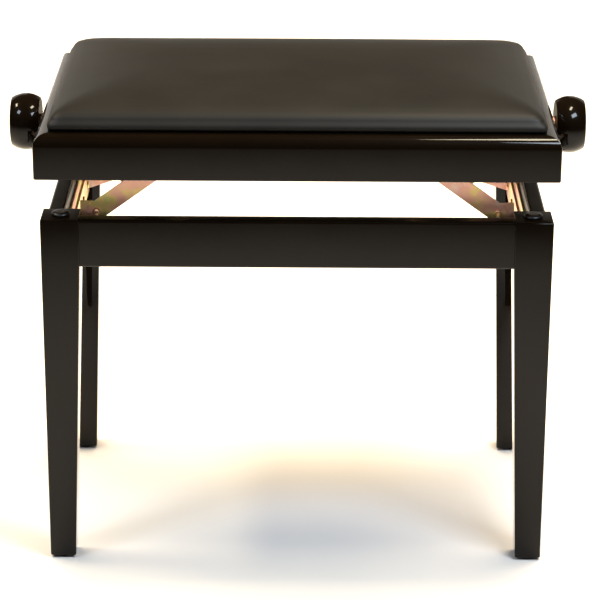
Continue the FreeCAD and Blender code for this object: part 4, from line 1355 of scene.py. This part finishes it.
@dataclass
class Studio:
    """The pale floor, the soft studio light and the camera."""

    camera_place: Point = (0.0087, -2.6614, 1.2716)
    pitch_deg: float = 21.08
    yaw_deg: float = 0.115
    roll_deg: float = 0.286
    lens_mm: float = 151.33
    sensor_mm: float = 36.0
    floor_size: float = 60.0
    floor_colour: str = "#f7f6f4"
    floor_rough: float = 0.9
    sky_colour: str = "#fff4e6"
    sky_strength: float = 0.05

    def camera(self) -> None:
        """Sets up the camera in front of the bench, above it and looking down."""
        data = bpy.data.cameras.new("camera")
        data.lens = self.lens_mm
        data.sensor_width = self.sensor_mm
        data.clip_end = 100
        eye = placed("camera", data)
        look = Matrix.Rotation(math.radians(self.yaw_deg), 3, "Z")
        look @= Matrix.Rotation(math.radians(90 - self.pitch_deg), 3, "X")
        look @= Matrix.Rotation(math.radians(self.roll_deg), 3, "Z")
        eye.matrix_world = Matrix.Translation(self.camera_place) @ look.to_4x4()
        bpy.context.scene.camera = eye

    def floor(self) -> None:
        """Makes the pale floor."""
        half = self.floor_size / 2
        corners = [Vector((x * half, y * half, 0)) for x, y in ((-1, -1), (1, -1), (1, 1), (-1, 1))]
        plane = make_piece("studio_floor", corners, [(0, 1, 2, 3)])
        paint = bpy.data.materials.new("pale_floor_paint")
        paint.use_nodes = True
        shader = paint.node_tree.nodes["Principled BSDF"]
        shader.inputs["Base Color"].default_value = linear(self.floor_colour)
        shader.inputs["Roughness"].default_value = self.floor_rough
        plane.data.materials.append(paint)

    def sky(self) -> None:
        """Sets the even light that comes from all round."""
        world = bpy.data.worlds.new("studio")
        bpy.context.scene.world = world
        world.use_nodes = True
        shade = world.node_tree.nodes["Background"]
        shade.inputs["Color"].default_value = linear(self.sky_colour)
        shade.inputs["Strength"].default_value = self.sky_strength

    def fill(self) -> None:
        """Adds a front light that reaches only the passivated steel, which is hidden between rails of black lacquer."""
        steel = bpy.data.collections.new("passivated_steel")
        for made in bpy.context.scene.objects:
            if made.type == "MESH" and ZINC.material().name in made.data.materials:
                steel.objects.link(made)
        STEEL_FILL.hang().light_linking.receiver_collection = steel

    def build(self) -> None:
        """Sets up the whole studio."""
        bpy.context.scene.view_settings.view_transform = "Standard"
        self.camera()
        self.floor()
        self.sky()
        for lamp in LAMPS:
            lamp.hang()
        self.fill()


def main() -> None:
    """Builds the studio and each part of the bench."""
    logging.basicConfig(level=logging.INFO, format="%(name)s: %(message)s")
    for part in (Base(), SeatFrame(), Cushion(), Lift(), SpindleSet(), Studio()):
        LOG.info("building %s", type(part).__name__)
        part.build()


if __name__ == "__main__":
    main()
